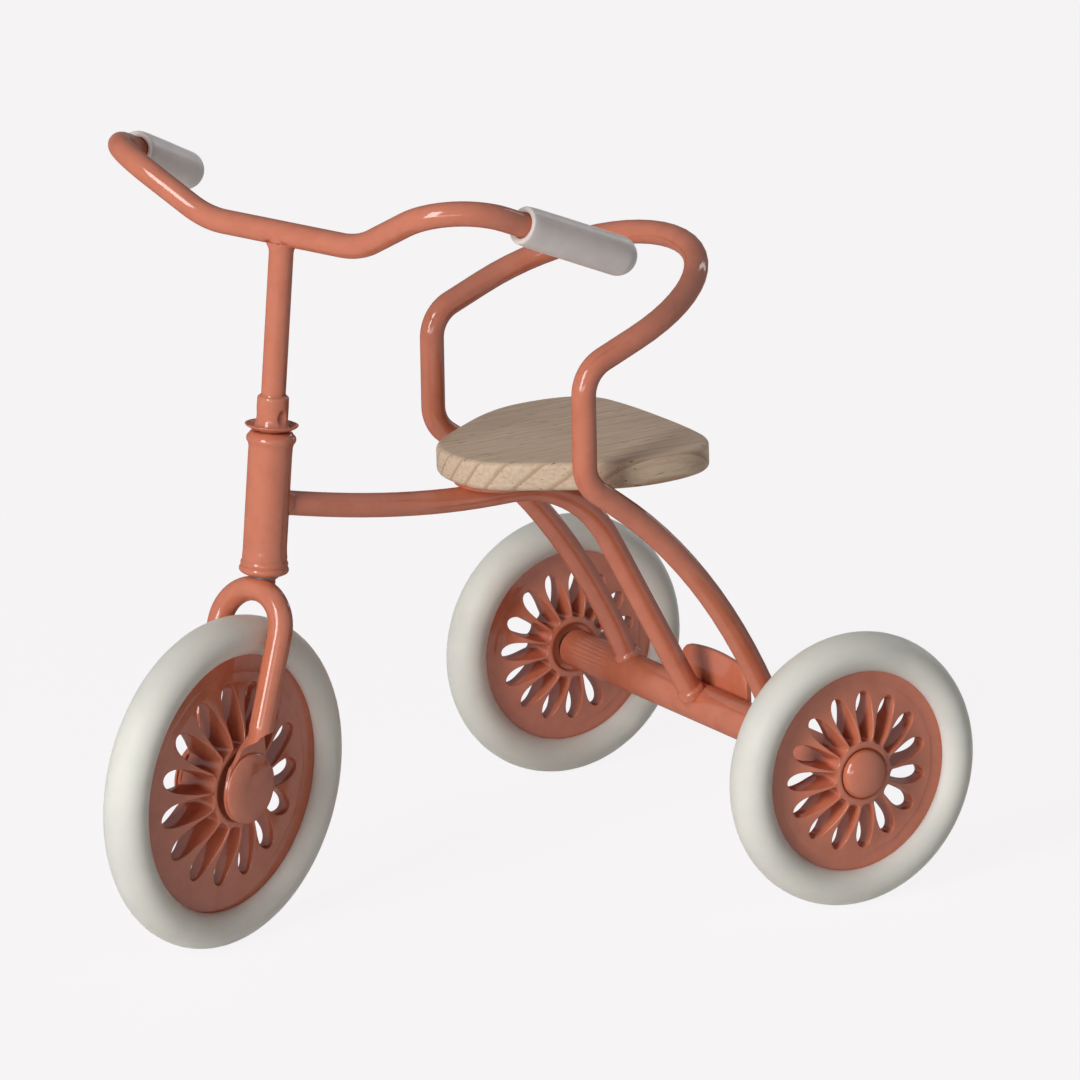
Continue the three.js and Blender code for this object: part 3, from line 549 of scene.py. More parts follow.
def placed(piece, space, y=0.0, z=0.0):
    """Bakes a place in a space into a piece's mesh and leaves its object at the origin."""
    only(piece)
    piece.matrix_world = space @ Matrix.Translation((0, y, z)) @ piece.matrix_world
    bpy.ops.object.transform_apply(location=True, rotation=True, scale=True)
    return piece


def capped(profile, steps, sign, box, space=Matrix.Identity(4)):
    """A solid cap spun from a profile that starts on the inner face of a box."""
    low, high = box
    centre = middle(box)
    turn = Matrix.Identity(4) if sign > 0 else HALF_TURN
    inner = Matrix.Translation((low.x if sign > 0 else high.x, centre.y, centre.z))
    return placed(turned(profile, steps, closed=False), space @ inner @ turn)


def painted(piece, slot):
    """Gives a piece the finish of a slot, and no other."""
    piece.data.materials.clear()
    piece.data.materials.append(finish_of(slot))


def kept(piece, name, body, slot, *nodes, smooth=40):
    """Names a finished piece, gives it its finish and lets it ride on its body."""
    piece.name = name
    piece.data.name = name
    painted(piece, slot)
    only(piece)
    bpy.ops.object.shade_smooth_by_angle(angle=math.radians(smooth))
    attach(piece, body)
    if nodes:
        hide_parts(*nodes)


def turned(profile, steps, closed=True):
    """A solid spun about X from a chain of (along, radius) points."""
    piece = fresh(bpy.ops.mesh.primitive_plane_add, size=MM)
    bpy.ops.object.mode_set(mode="EDIT")
    bpy.ops.mesh.merge(type="CENTER")
    bpy.ops.transform.translate(value=(profile[0][0], 0, profile[0][1]))
    for before, after in zip(profile, profile[1:]):
        step = (after[0] - before[0], 0, after[1] - before[1])
        bpy.ops.mesh.extrude_vertices_move(TRANSFORM_OT_translate={"value": step})
    if closed:
        # One edge between the chain's ends, so that no face fills the chain.
        select_where(piece, "verts", lambda vertex: len(vertex.link_edges) == 1)
        bpy.ops.mesh.edge_face_add()
    bpy.ops.mesh.select_all(action="SELECT")
    bpy.ops.mesh.spin(steps=steps, angle=2 * math.pi, center=(0, 0, 0), axis=X_AXIS)
    bpy.ops.object.mode_set(mode="OBJECT")
    return cleaned(piece, WIDE_GAP)


def select_where(piece, kind, wanted):
    """Selects, in edit mode, just the vertices or edges that a test picks."""
    bpy.ops.mesh.select_all(action="DESELECT")
    for part in getattr(bmesh.from_edit_mesh(piece.data), kind):
        if wanted(part):
            part.select_set(True)
    bmesh.update_edit_mesh(piece.data)


def clamped(value, low=0.0):
    """A value held between a lower limit and one."""
    return max(low, min(1.0, value))


def smooth(value):
    """An even climb from nought to one, with soft ends."""
    value = clamped(value)
    return value * value * (3 - 2 * value)


def arc(centre, radius, start, end, count):
    """Points (along, radius) on a round stretch of a profile, angles in degrees."""
    points = []
    for i in range(count + 1):
        turn = math.radians(start + (end - start) * i / count)
        points.append((centre[0] + radius * math.cos(turn), centre[1] + radius * math.sin(turn)))
    return points


def offsets(along, radius, *steps):
    """Profile points at steps, in millimetres, from a place on the profile."""
    return [(along + step * MM, radius + rise * MM) for step, rise in steps]


def bends(corners, radii):
    """The knots of straight runs with rounded corners: places, handles before and after."""
    knots = [(corners[0], corners[0], corners[0].lerp(corners[1], 0.1))]
    for i, radius in enumerate(radii, start=1):
        before = (corners[i - 1] - corners[i]).normalized()
        after = (corners[i + 1] - corners[i]).normalized()
        opening = before.angle(after)
        setback = radius / math.tan(opening / 2)
        handle = 4 / 3 * math.tan((math.pi - opening) / 4) * radius
        start = corners[i] + before * setback
        end = corners[i] + after * setback
        straight = min(handle, (knots[-1][0] - start).length / 3)
        knots.append((start, start + before * straight, start - before * handle))
        knots.append((end, end - after * handle, end + after * handle))
    last = corners[-1]
    knots.append((last, last.lerp(corners[-2], 0.1), last))
    return knots


def mirrored_knots(knots):
    """The same knots on the other side of the centre plane, run backwards."""
    return [(at * MIRROR, ahead * MIRROR, back * MIRROR) for at, back, ahead in reversed(knots)]


def hooped(side, crown, half):
    """A whole loop from the knots of one side, its crown and half its width."""
    across = X_AXIS * (QUARTER * half)
    return side + [(crown, crown + across, crown - across)] + mirrored_knots(side)


def bezier(add, knots):
    """A curve whose line runs through knots."""
    piece = fresh(add)
    points = piece.data.splines[0].bezier_points
    points.add(len(knots) - len(points))
    for point, (at, back, ahead) in zip(points, knots):
        point.handle_left_type = point.handle_right_type = "FREE"
        point.co, point.handle_left, point.handle_right = at, back, ahead
    return piece


def meshed(piece, **settings):
    """Sets a curve's data and turns it into a mesh."""
    for key, value in settings.items():
        setattr(piece.data, key, value)
    only(piece)
    bpy.ops.object.convert(target="MESH")
    return bpy.context.object


def bent_rod(knots, space):
    """A round rod along a smooth line in a space, closed at both ends."""
    rods = bpy.context.scene.tricycle_rods
    rod = meshed(
        bezier(bpy.ops.curve.primitive_bezier_curve_add, knots), dimensions="3D",
        twist_mode="MINIMUM", resolution_u=14, bevel_depth=rods.diameter / 2,
        bevel_resolution=(rods.rings - 4) // 2, use_fill_caps=True,
    )
    return placed(cleaned(rod), space)


def weld_fillet(radius, throat, skirt):
    """A hollow-sided ring of weld: its skirt ends behind the origin, its narrow end along +X."""
    start, reach = throat * 0.5, throat * 1.7
    film = 0.04 * MM
    inner = radius * 0.7
    profile = [(-skirt, inner), (-skirt, radius + throat)]
    count = 7
    for i in range(count + 1):
        rise = math.sin(math.pi / 2 * i / count)
        height = radius + film + throat * (1 - rise) ** 1.6
        profile.append(((reach + start) * rise - start, height))
    return turned(profile + [(reach, inner)], 40)


def flat_ring(start, end, inner, outer):
    """A washer about X."""
    return turned([(start, inner), (start, outer), (end, outer), (end, inner)], 48)


def roughened(piece, strength, size):
    """Lumps the surface slightly, as weld and thick paint do; both sizes in millimetres."""
    texture = bpy.data.textures.new("weld_lumps", "CLOUDS")
    texture.noise_scale = size * MM
    return modified(
        piece, "DISPLACE", texture=texture, strength=strength * MM, mid_level=0.5,
        texture_coords="LOCAL",
    )


# ---- frame


def foot_weld(place, direction, name):
    """The weld where a rod ends on a tube, at a place and along a direction in CHASSIS."""
    rods = bpy.context.scene.tricycle_rods
    # The skirt runs on into the other tube, whose round surface falls away.
    fillet = weld_fillet(rods.diameter / 2, rods.weld, 1.1 * MM)
    placed(roughened(fillet, 0.22, 1.3), facing(CHASSIS @ place, direction))
    kept(fillet, name, "frame", "paint")


class TRICYCLE_OT_backrest(bpy.types.Operator):
    """Bends the backrest loop from one rod and welds its feet to the axle tube"""

    bl_idname = "tricycle.backrest"
    bl_label = "Backrest loop"

    def execute(self, context):
        rods = context.scene.tricycle_rods
        high = node_box("backrest_loop", CHASSIS)[1]
        radius = rods.diameter / 2
        half = high.x - radius
        rake = Vector((0, math.cos(rods.loop_rake), math.sin(rods.loop_rake)))
        # From the hoop's highest point back down the rake to its arms and bends.
        arm_end = Vector((half, 0, high.z - radius - half * rake.z))
        upper = Vector((half, LOOP_UPPER_Y, arm_end.z - rods.loop_arm * rake.z))
        arm_end.y = upper.y + rods.loop_arm * rake.y
        lower = Vector((half, LOOP_LOWER_Y, upper.z - LOOP_UPRIGHT))
        knee = Vector((half, -rods.knee_back, rods.knee_up))
        leg_top = lower + (knee - lower).normalized() * LEG_RUN
        foot = Vector((rods.loop_foot, LOOP_FOOT_BACK, REAR_AXLE.z + LOOP_FOOT_UP))
        straight = bends([leg_top, lower, upper, arm_end], [rods.loop_bend] * 2)
        # Two thirds of the way to the knee give the leg one plain curve.
        side = [(foot, foot, foot.lerp(knee, 2 / 3))]
        side.append((leg_top, leg_top.lerp(knee, 2 / 3), straight[0][2]))
        side += straight[1:-1]
        at, back, _ = straight[-1]
        side.append((at, back, at + rake * (QUARTER * half)))
        crown = arm_end * Vector((0, 1, 1)) + rake * half
        piece = bent_rod(hooped(side, crown, half), CHASSIS)
        kept(piece, "backrest_loop_rod", "frame", "paint", "backrest_loop")
        for side_name, sign in SIDES:
            mirror = Vector((sign, 1, 1))
            direction = ((knee - foot) * mirror).normalized()
            surface = foot * mirror + direction * axle_tube_radius()
            foot_weld(surface, direction, f"{side_name}_leg_weld")
        return {"FINISHED"}


def axle_tube_radius():
    low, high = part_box("rear_axle_tube")
    return (high.z - low.z) / 2


class TRICYCLE_OT_main_tube(bpy.types.Operator):
    """Bends the main tube from the head tube, under the seat and down to the axle tube"""

    bl_idname = "tricycle.main_tube"
    bl_label = "Main tube"

    def execute(self, context):
        rods = context.scene.tricycle_rods
        level = node_box("seat_bracket", CHASSIS)[0].z - rods.diameter / 2
        bend = Vector((0, TUBE_BEND_Y, level))
        foot = Vector((0, TUBE_FOOT_Y, REAR_AXLE.z))
        knots = bends([Vector((0, TUBE_UNDER_Y, level)), bend, foot], [rods.tube_bend])
        under, _, ahead = knots[0]
        knots[0] = (under, under + UNDER_RUN, ahead)
        start = (TUBE_START, TUBE_START, TUBE_START + TUBE_RUN)
        piece = bent_rod([start] + knots, CHASSIS)
        kept(piece, "main_tube_rod", "frame", "paint", "main_tube")
        direction = (bend - foot).normalized()
        surface = foot + direction * (axle_tube_radius() + 0.3 * MM)
        foot_weld(surface, direction, "stay_weld")
        # The other weld stands where the tube's line comes out of the head tube's shell.
        low, high = node_box("head_tube", HEAD)
        back, direction = HEAD.inverted(), TUBE_RUN.normalized()
        gap = (high.x - low.x) / 2 - BEAD - (back @ (CHASSIS @ TUBE_START)).y
        run = gap / (back.to_3x3() @ direction).y
        foot_weld(TUBE_START + direction * run, direction, "head_weld")
        return {"FINISHED"}


class TRICYCLE_OT_head_tube(bpy.types.Operator):
    """Turns the head tube with its two rolled beads"""

    bl_idname = "tricycle.head_tube"
    bl_label = "Head tube"

    def execute(self, context):
        low, high = node_box("head_tube", HEAD)
        bead = (high.x - low.x) / 2
        body = bead - BEAD
        bore = 1.86 * MM
        bottom, top = low.z, high.z
        profile = [(bottom, bore), *offsets(bottom, body, (0, -0.4), (0.12, -0.12))]
        # Two soft rolls at the foot, then a hollow run up to the straight body.
        profile += arc((bottom + 0.78 * MM, bead - 0.62 * MM), 0.62 * MM, 150, 40, 7)
        profile += arc((bottom + 1.62 * MM, bead - 0.86 * MM), 0.72 * MM, 120, 45, 5)
        profile += offsets(bottom, body, (2.6, 0.1), (3.3, 0.02), (4.2, 0))
        profile += offsets(top, body, (-3.4, 0), (-2.3, 0.02), (-1.95, 0.08))
        profile += arc((top - 1.08 * MM, bead - 0.8 * MM), 0.8 * MM, 135, 35, 8)
        profile += [*offsets(top, body, (-0.12, -0.1), (0, -0.35)), (top, bore)]
        piece = placed(roughened(turned(profile, 72), 0.16, 3.2), HEAD @ UPRIGHT)
        kept(piece, "head_tube_shell", "frame", "paint", "head_tube")
        return {"FINISHED"}


class TRICYCLE_OT_axle_tube(bpy.types.Operator):
    """Turns the rear axle tube and cuts the arched plate that stands on it"""

    bl_idname = "tricycle.axle_tube"
    bl_label = "Axle tube and gusset"

    def execute(self, context):
        low, high = node_box("rear_axle_tube", CHASSIS)
        radius = (high.z - low.z) / 2
        end = 0.35 * MM
        profile = [
            (low.x, AXLE_BORE),
            (low.x, radius - end),
            *arc((low.x + end, radius - end), end, 180, 90, 4)[1:],
            *arc((high.x - end, radius - end), end, 90, 0, 4),
            (high.x, AXLE_BORE),
        ]
        piece = placed(turned(profile, 48), CHASSIS, z=REAR_AXLE.z)
        kept(piece, "axle_tube_shell", "frame", "paint", "rear_axle_tube")
        for side_name, _ in SIDES:
            name = f"{side_name}_axle_washer"
            near, far = node_box(name, CHASSIS)
            # The washers' dark steel is partly painted shade, standing in for the shade in the hub's recess round
            # the tube.
            ring = flat_ring(near.x, far.x, AXLE_BORE, radius - 0.4 * MM)
            placed(ring, CHASSIS, z=REAR_AXLE.z)
            kept(ring, f"{side_name}_thin_washer", "frame", "steel", name)
        self.gusset()
        return {"FINISHED"}

    def gusset(self):
        low, high = node_box("stay_gusset", CHASSIS)
        plate = fresh(
            bpy.ops.mesh.primitive_grid_add, x_subdivisions=24, y_subdivisions=3, size=1
        )
        half = (high.x - low.x) / 2
        foot = REAR_AXLE.z + 1.2 * MM
        for vertex in plate.data.vertices:
            across = vertex.co.x * 2
            share = vertex.co.y + 0.5
            # The arch falls gently from its middle and fast at its round shoulders.
            shoulder = max(0.0, abs(across) - 0.72) / 0.28
            drop = across * across + 1.7 * shoulder**2.6
            vertex.co = (across * half, 0, foot + (high.z - drop * MM - foot) * share)
        modified(plate, "SOLIDIFY", thickness=high.y - low.y, offset=0)
        softened(plate, 0.2 * MM, limit=50)
        placed(plate, CHASSIS, y=(low.y + high.y) / 2)
        kept(cleaned(plate), "gusset_plate", "frame", "paint", "stay_gusset")


# ---- seat


def seat_outline(half, front, back):
    """Knots of the board's outline: a narrow nose, full cheeks and a soft back."""
    # Each place, the handle after it and, where that isn't its mirror, the one before it.
    points = [
        ((0, front), (half * 0.3, front)),
        (
            (half * 0.58, front + 6.5 * MM), (half * 0.86, front + 13.5 * MM),
            (half * 0.42, front + 2.2 * MM),
        ),
        ((half, front + 23 * MM), (half, back - 4.2 * MM), (half, front + 17.5 * MM)),
        ((half * 0.62, back - 0.55 * MM), (half * 0.38, back), (half * 0.89, back - 1.1 * MM)),
        ((0, back), (-half * 0.2, back)),
    ]
    right = []
    for at, ahead, *rest in points:
        behind = rest[0] if rest else (-ahead[0], ahead[1])
        right.append(tuple(Vector((*point, 0)) for point in (at, behind, ahead)))
    return right + mirrored_knots(right[1:-1])


class TRICYCLE_OT_seat(bpy.types.Operator):
    """Cuts the beech board and the plate under it"""

    bl_idname = "tricycle.seat"
    bl_label = "Seat"

    def execute(self, context):
        edge = context.scene.tricycle_seat.edge
        low, high = node_box("seat", CHASSIS)
        outline = seat_outline(high.x - edge, low.y + edge, high.y - edge)
        board = meshed(
            bezier(bpy.ops.curve.primitive_bezier_circle_add, outline), dimensions="2D",
            fill_mode="BOTH", resolution_u=16, extrude=(high.z - low.z) / 2 - edge,
            bevel_depth=edge, bevel_resolution=5,
        )
        placed(cleaned(board, WIDE_GAP), CHASSIS, z=(low.z + high.z) / 2)
        kept(board, "seat_board", "frame", "beech", "seat", smooth=60)
        self.bracket()
        return {"FINISHED"}

    def bracket(self):
        low, high = node_box("seat_bracket", CHASSIS)
        wide, long, thick = high - low
        plate = fresh(
            bpy.ops.mesh.primitive_cylinder_add, vertices=64, radius=wide / 2, depth=thick
        )
        # The two halves of a round plate, pulled apart along Y.
        for vertex in plate.data.vertices:
            if abs(vertex.co.y) > 1e-7:
                vertex.co.y += math.copysign((long - wide) / 2, vertex.co.y)
        centre = (low + high) / 2
        placed(softened(plate, 0.25 * MM), CHASSIS, y=centre.y, z=centre.z)
        kept(plate, "seat_bracket_plate", "frame", "paint", "seat_bracket")


# ---- steering


class TRICYCLE_OT_handlebar(bpy.types.Operator):
    """Bends the cow-horn handlebar, its stem, collar and grips"""

    bl_idname = "tricycle.handlebar"
    bl_label = "Handlebar and grips"

    def execute(self, context):
        rods = context.scene.tricycle_rods
        radius = rods.diameter / 2
        level = node_box("handlebar", STEERED)[0].z + radius
        corner = Vector((rods.bar_corner_x, BAR_CORNER_Y, level + rods.bar_corner_up))
        half = [BAR_END, corner, Vector((rods.bar_middle, 0, level))]
        radii = [rods.bar_outer_bend, rods.bar_inner_bend]
        corners = half + [place * MIRROR for place in reversed(half)]
        bar = bent_rod(bends(corners, radii + radii[::-1]), STEERED)
        kept(bar, "handlebar_rod", "steering", "paint", "handlebar")
        self.stem(level, radius, rods)
        for side_name, sign in SIDES:
            mirror = Vector((sign, 1, 1))
            self.grip(side_name, BAR_END * mirror, corner * mirror)
        return {"FINISHED"}

    def stem(self, level, radius, rods):
        foot = node_box("handlebar_stem", STEERED)[0].z
        profile = [(foot, 0), (foot, radius), (level, radius), (level, 0)]
        rod = placed(turned(profile, 32, closed=False), STEERED @ UPRIGHT)
        kept(rod, "stem_rod", "steering", "paint", "handlebar_stem")
        fillet = roughened(weld_fillet(radius, rods.weld * 2.3, 0.2 * MM), 0.1, 2.0)
        placed(fillet, facing(Vector((0, 0, level - radius * 0.86)), -Z_AXIS))
        # The weld runs out along the bar, and not past it in front or behind.
        front = radius + 0.05 * MM
        for vertex in fillet.data.vertices:
            vertex.co.y = max(-front, min(front, vertex.co.y))
        kept(placed(fillet, STEERED), "stem_weld", "steering", "paint")
        self.collar(radius, rods.sleeve / 2)

    def collar(self, radius, sleeve):
        """A sleeve crimped onto the stem, with a thin upturned flange at its foot."""
        low, high = node_box("stem_collar", STEERED)
        foot, top = low.z, high.z + 0.5 * MM
        flange = (high.x - low.x) / 2
        inner = radius + 0.03 * MM
        round_over = 0.5 * MM
        profile = [
            (foot + 0.25 * MM, inner),
            (foot, radius + 0.35 * MM),
            *offsets(foot, sleeve, (0, 0.25), (0.08, 0.6)),
            *offsets(foot, flange, (0.2, -0.65), (0.42, -0.24)),
            *arc((foot + 0.7 * MM, flange - 0.11 * MM), 0.11 * MM, 150, -20, 6),
            *offsets(foot, flange, (0.62, -0.36), (0.42, -0.7)),
            *offsets(foot, sleeve, (0.36, 0.52), (0.42, 0.36), (0.6, 0.22), (0.9, 0.1)),
        ]
        count = 14
        start = foot + 1.3 * MM
        profile.append((start, sleeve + 0.02 * MM))
        run = top - round_over - start
        profile += [(start + run * i / count, sleeve) for i in range(1, count)]
        profile += arc((top - round_over, sleeve - round_over), round_over, 90, 25, 6)
        profile += offsets(top, radius, (-0.03, 0.14), (0.1, 0.09))
        profile.append((top + 0.1 * MM, inner))
        piece = turned(profile, 96)
        self.crimp(piece, foot + 1.9 * MM, sleeve)
        placed(roughened(piece, 0.08, 1.2), STEERED @ UPRIGHT)
        kept(piece, "crimped_collar", "steering", "paint", "stem_collar")

    def crimp(self, piece, height, sleeve):
        """Punches the sleeve onto the stem in three places, each a little longer than wide."""
        for degrees in CRIMP_TURNS:
            turn = math.radians(degrees)
            centre = Vector((height, sleeve * math.sin(turn), sleeve * math.cos(turn)))
            for vertex in piece.data.vertices:
                gap = vertex.co - centre
                gap.x *= 0.7
                near = gap.length / CRIMP_REACH
                if near < 1 and vertex.co.yz.length > sleeve - 0.3 * MM:
                    inward = Vector((0, -vertex.co.y, -vertex.co.z)).normalized()
                    vertex.co += inward * CRIMP_DEPTH * (1 - near**3) ** 1.4

    def grip(self, side_name, end, corner):
        """A sleeve with a soft lip, a slight swell and a round end."""
        rods = bpy.context.scene.tricycle_rods
        outer, reach = rods.grip / 2, rods.grip_length
        inner = rods.diameter / 2 + 0.05 * MM
        profile = [
            *offsets(0, inner, (0.5, 0), (0.16, 0.1)),
            *arc((0.32 * MM, outer - 0.5 * MM), 0.36 * MM, 200, 95, 6),
            *offsets(0, outer, (0.9, -0.08), (2.2, -0.03)),
            (reach * 0.5, outer),
            *arc((reach, 0), outer, 90, 2, 16),
            (reach + outer, 0),
            (reach * 0.7, 0),
            (reach * 0.7, inner),
        ]
        direction = (end - corner).normalized()
        lip = facing(end - direction * reach, direction)
        piece = placed(turned(profile, 64), STEERED @ lip)
        kept(piece, f"{side_name}_grip_sleeve", "steering", "grip", f"{side_name}_grip")


class TRICYCLE_OT_fork(bpy.types.Operator):
    """Bends the fork, hammers its ends flat and rivets the axle caps on"""

    bl_idname = "tricycle.fork"
    bl_label = "Fork and front axle"

    def execute(self, context):
        rods = context.scene.tricycle_rods
        axle = STEERED.inverted() @ FRONT_AXLE
        high = node_box("fork", STEERED)[1]
        radius = rods.diameter / 2
        half_gap = high.x - radius
        # The crown all but touches the head tube's foot, over the washer's rim.
        shoulder_z = high.z - radius - half_gap + CROWN_RISE

        def on_line(height):
            """A point of the straight arm, at a height above the axle."""
            back = PADDLE_OFFSET * min(1.0, height / rods.step_top)
            back += FORK_LEAN * max(0.0, height - rods.step_top)
            return Vector((half_gap, axle.y + back, axle.z + height))

        shoulder = on_line(shoulder_z - axle.z)
        marks = (-rods.paddle, *ARM_MARKS, rods.step_top, ARM_TOP)
        places = [on_line(height) for height in marks] + [shoulder]
        arm = [(places[0], places[0], places[0].lerp(places[1], 1 / 3))]
        for before, at, after in zip(places, places[1:], places[2:]):
            arm.append((at, at.lerp(before, 1 / 3), at.lerp(after, 1 / 3)))
        ahead = shoulder + Vector((0, FORK_LEAN, 1)) * (QUARTER * half_gap)
        arm.append((shoulder, shoulder.lerp(places[-2], 1 / 3), ahead))
        crown = Vector((0, axle.y + CROWN_BACK, shoulder_z + half_gap))
        rod = bent_rod(hooped(arm, crown, half_gap), Matrix.Identity(4))
        # The paddles' outer faces stop just short of the caps.
        cap = abs(node_box("left_axle_cap", STEERED)[0].x)
        inner = cap - 0.05 * MM - rods.paddle_thickness
        self.hammer(rod, on_line, axle.z, half_gap, inner, rods)
        kept(placed(rod, STEERED), "fork_rod", "steering", "paint", "fork", smooth=44)
        low, high = node_box("fork_washer", STEERED)
        # The washer's dark steel is partly painted shade, standing in for the dark contact line under the crown.
        ring = flat_ring(low.z, high.z, inner=1.84 * MM, outer=2.1 * MM)
        kept(placed(ring, STEERED @ UPRIGHT), "crown_washer", "steering", "steel", "fork_washer")
        for side_name, sign in SIDES:
            self.cap(side_name, sign)
        return {"FINISHED"}

    def hammer(self, rod, on_line, axle_z, half_gap, inner, rods):
        """Hammers both ends from outside into thin tongues that flare into round paddles."""
        radius = rods.diameter / 2
        thin = rods.paddle_thickness / 2
        for vertex in rod.data.vertices:
            height = vertex.co.z - axle_z
            if height > rods.step_top + STEP_EDGE:
                continue
            line_y = on_line(height).y
            round_x = abs(vertex.co.x)
            back = clamped((vertex.co.y - line_y) / radius, -1.0)
            depth = clamped((rods.step_top - height) / rods.step_run)
            squeeze = 1 - (1 - depth) ** 2
            # The tongue's front edge stays wider, further up, than its back edge.
            half_width = self.half_width(height, 2.2 if back < 0 else 0.8, rods)
            side = back * half_width
            rest = max(0.0, abs(side) - (half_width - thin)) / thin
            flat = math.copysign(thin * math.sqrt(max(0.0, 1 - rest * rest)), round_x - half_gap)
            if height < 0:
                # The rings crowd towards the round end of the paddle.
                height = -rods.paddle * math.sin(min(1.0, -height / rods.paddle) * math.pi / 2)
            x = round_x + (inner + thin + flat - round_x) * squeeze
            y = vertex.co.y + (line_y + side - vertex.co.y) * squeeze
            # The step dips towards the rod's front, as a slanting blow leaves it.
            dip = rods.step_dip * min(0.0, back) ** 2 * smooth((height - DIP_FOOT) / DIP_FOOT)
            dip *= smooth((rods.step_top + STEP_EDGE - height) / STEP_EDGE)
            vertex.co = (math.copysign(x, vertex.co.x), y, axle_z + height - dip)

    def half_width(self, height, fullness, rods):
        """Half the width of the tongue at a height above the axle."""
        radius = rods.paddle
        if height < 0:
            turn = min(1.0, -height / radius) * math.pi / 2
            return max(0.5 * MM, radius * math.cos(turn))
        # A flare from the rod's width out to the round end's.
        narrow = rods.diameter / 2 * 1.15
        share = min(1.0, height / rods.step_top)
        return narrow + (radius - narrow) * (1 - share**fullness)

    def cap(self, side_name, sign):
        box = node_box(f"{side_name}_axle_cap", STEERED)
        low, high = box
        radius = (high.z - low.z) / 2
        thick = high.x - low.x + 0.2 * MM
        edge = 0.16 * MM
        profile = [(0, 0), (0, radius - edge), *arc((edge, radius - edge), edge, 180, 90, 3)[1:]]
        # The pressed face rises over a broad soft slope to a nearly flat middle.
        start = 1.6 * edge
        rise = thick - 0.06 * MM - start
        steps = 16
        for i in range(1, steps + 1):
            share = i / steps
            height = start + rise * math.sin(share * math.pi / 2)
            profile.append((height, radius * (1 - 0.6 * share**1.3)))
        piece = capped(profile + [(thick, 0)], 80, sign, box, STEERED)
        kept(piece, f"{side_name}_cap_rivet", "steering", "paint", f"{side_name}_axle_cap")


# ---- wheels


def opening_border(start, half, centre, reach, wheels):
    """Border points (across, out) of an opening, from the hub to its tapering outer end."""
    slope = math.tan(math.pi / wheels.petals)
    soft = wheels.blend
    corner = wheels.corner

    def width(out):
        # The narrow wedge between two vanes runs softly into parallel sides.
        wedge = out * slope - wheels.vane / 2
        return -soft * math.log(math.exp(-wedge / soft) + math.exp(-half / soft))

    border = []
    steps = 5
    for i in range(steps):
        turn = math.pi / 2 * i / steps
        out = start + corner * (1 - math.cos(turn))
        border.append((width(out) * math.sin(turn) ** 0.7, out))
    steps = 11
    for i in range(steps):
        out = start + corner + (centre - start - corner) * i / steps
        border.append((width(out), out))
    steps = 9
    for i in range(steps):
        turn = math.pi / 2 * i / steps
        border.append((width(centre) * math.cos(turn), centre + reach * math.sin(turn)))
    return border + [(0.0, centre + reach)]


def nearest(border, across, out):
    """Distance from a point to an opening's border."""
    best = 1.0
    for (x0, y0), (x1, y1) in zip(border, border[1:]):
        dx, dy = x1 - x0, y1 - y0
        share = clamped(((across - x0) * dx + (out - y0) * dy) / (dx * dx + dy * dy))
        best = min(best, math.hypot(across - x0 - share * dx, out - y0 - share * dy))
    return best


def petal_height(out, ring, edge, tip_half, wheels):
    """Half the thickness of a petal: thick at the hub and thin at the rim."""
    share = clamped((out - ring) / (edge - ring))
    fall = ((1 + math.cos(math.pi * share)) / 2) ** 1.25
    return tip_half + (wheels.root - tip_half) * fall


def hub_rows(hub, ring, wheels):
    """(radius, height) across the sunken face and the raised ring of a hub."""
    recess = ring - wheels.ring_width
    top = wheels.ring_height
    return [
        *offsets(wheels.bore, hub, (0, -0.15), (0.15, 0)),
        *offsets(recess, hub, (-0.3, 0), (-0.08, 0.05), (0, 0.22)),
        *offsets(recess, top, (0.04, -0.3), (0.14, -0.12), (0.3, -0.03)),
        *offsets(ring, top, (-0.45, 0), (-0.2, -0.05)),
        *offsets(ring, wheels.root, (-0.04, 0.01)),
    ]


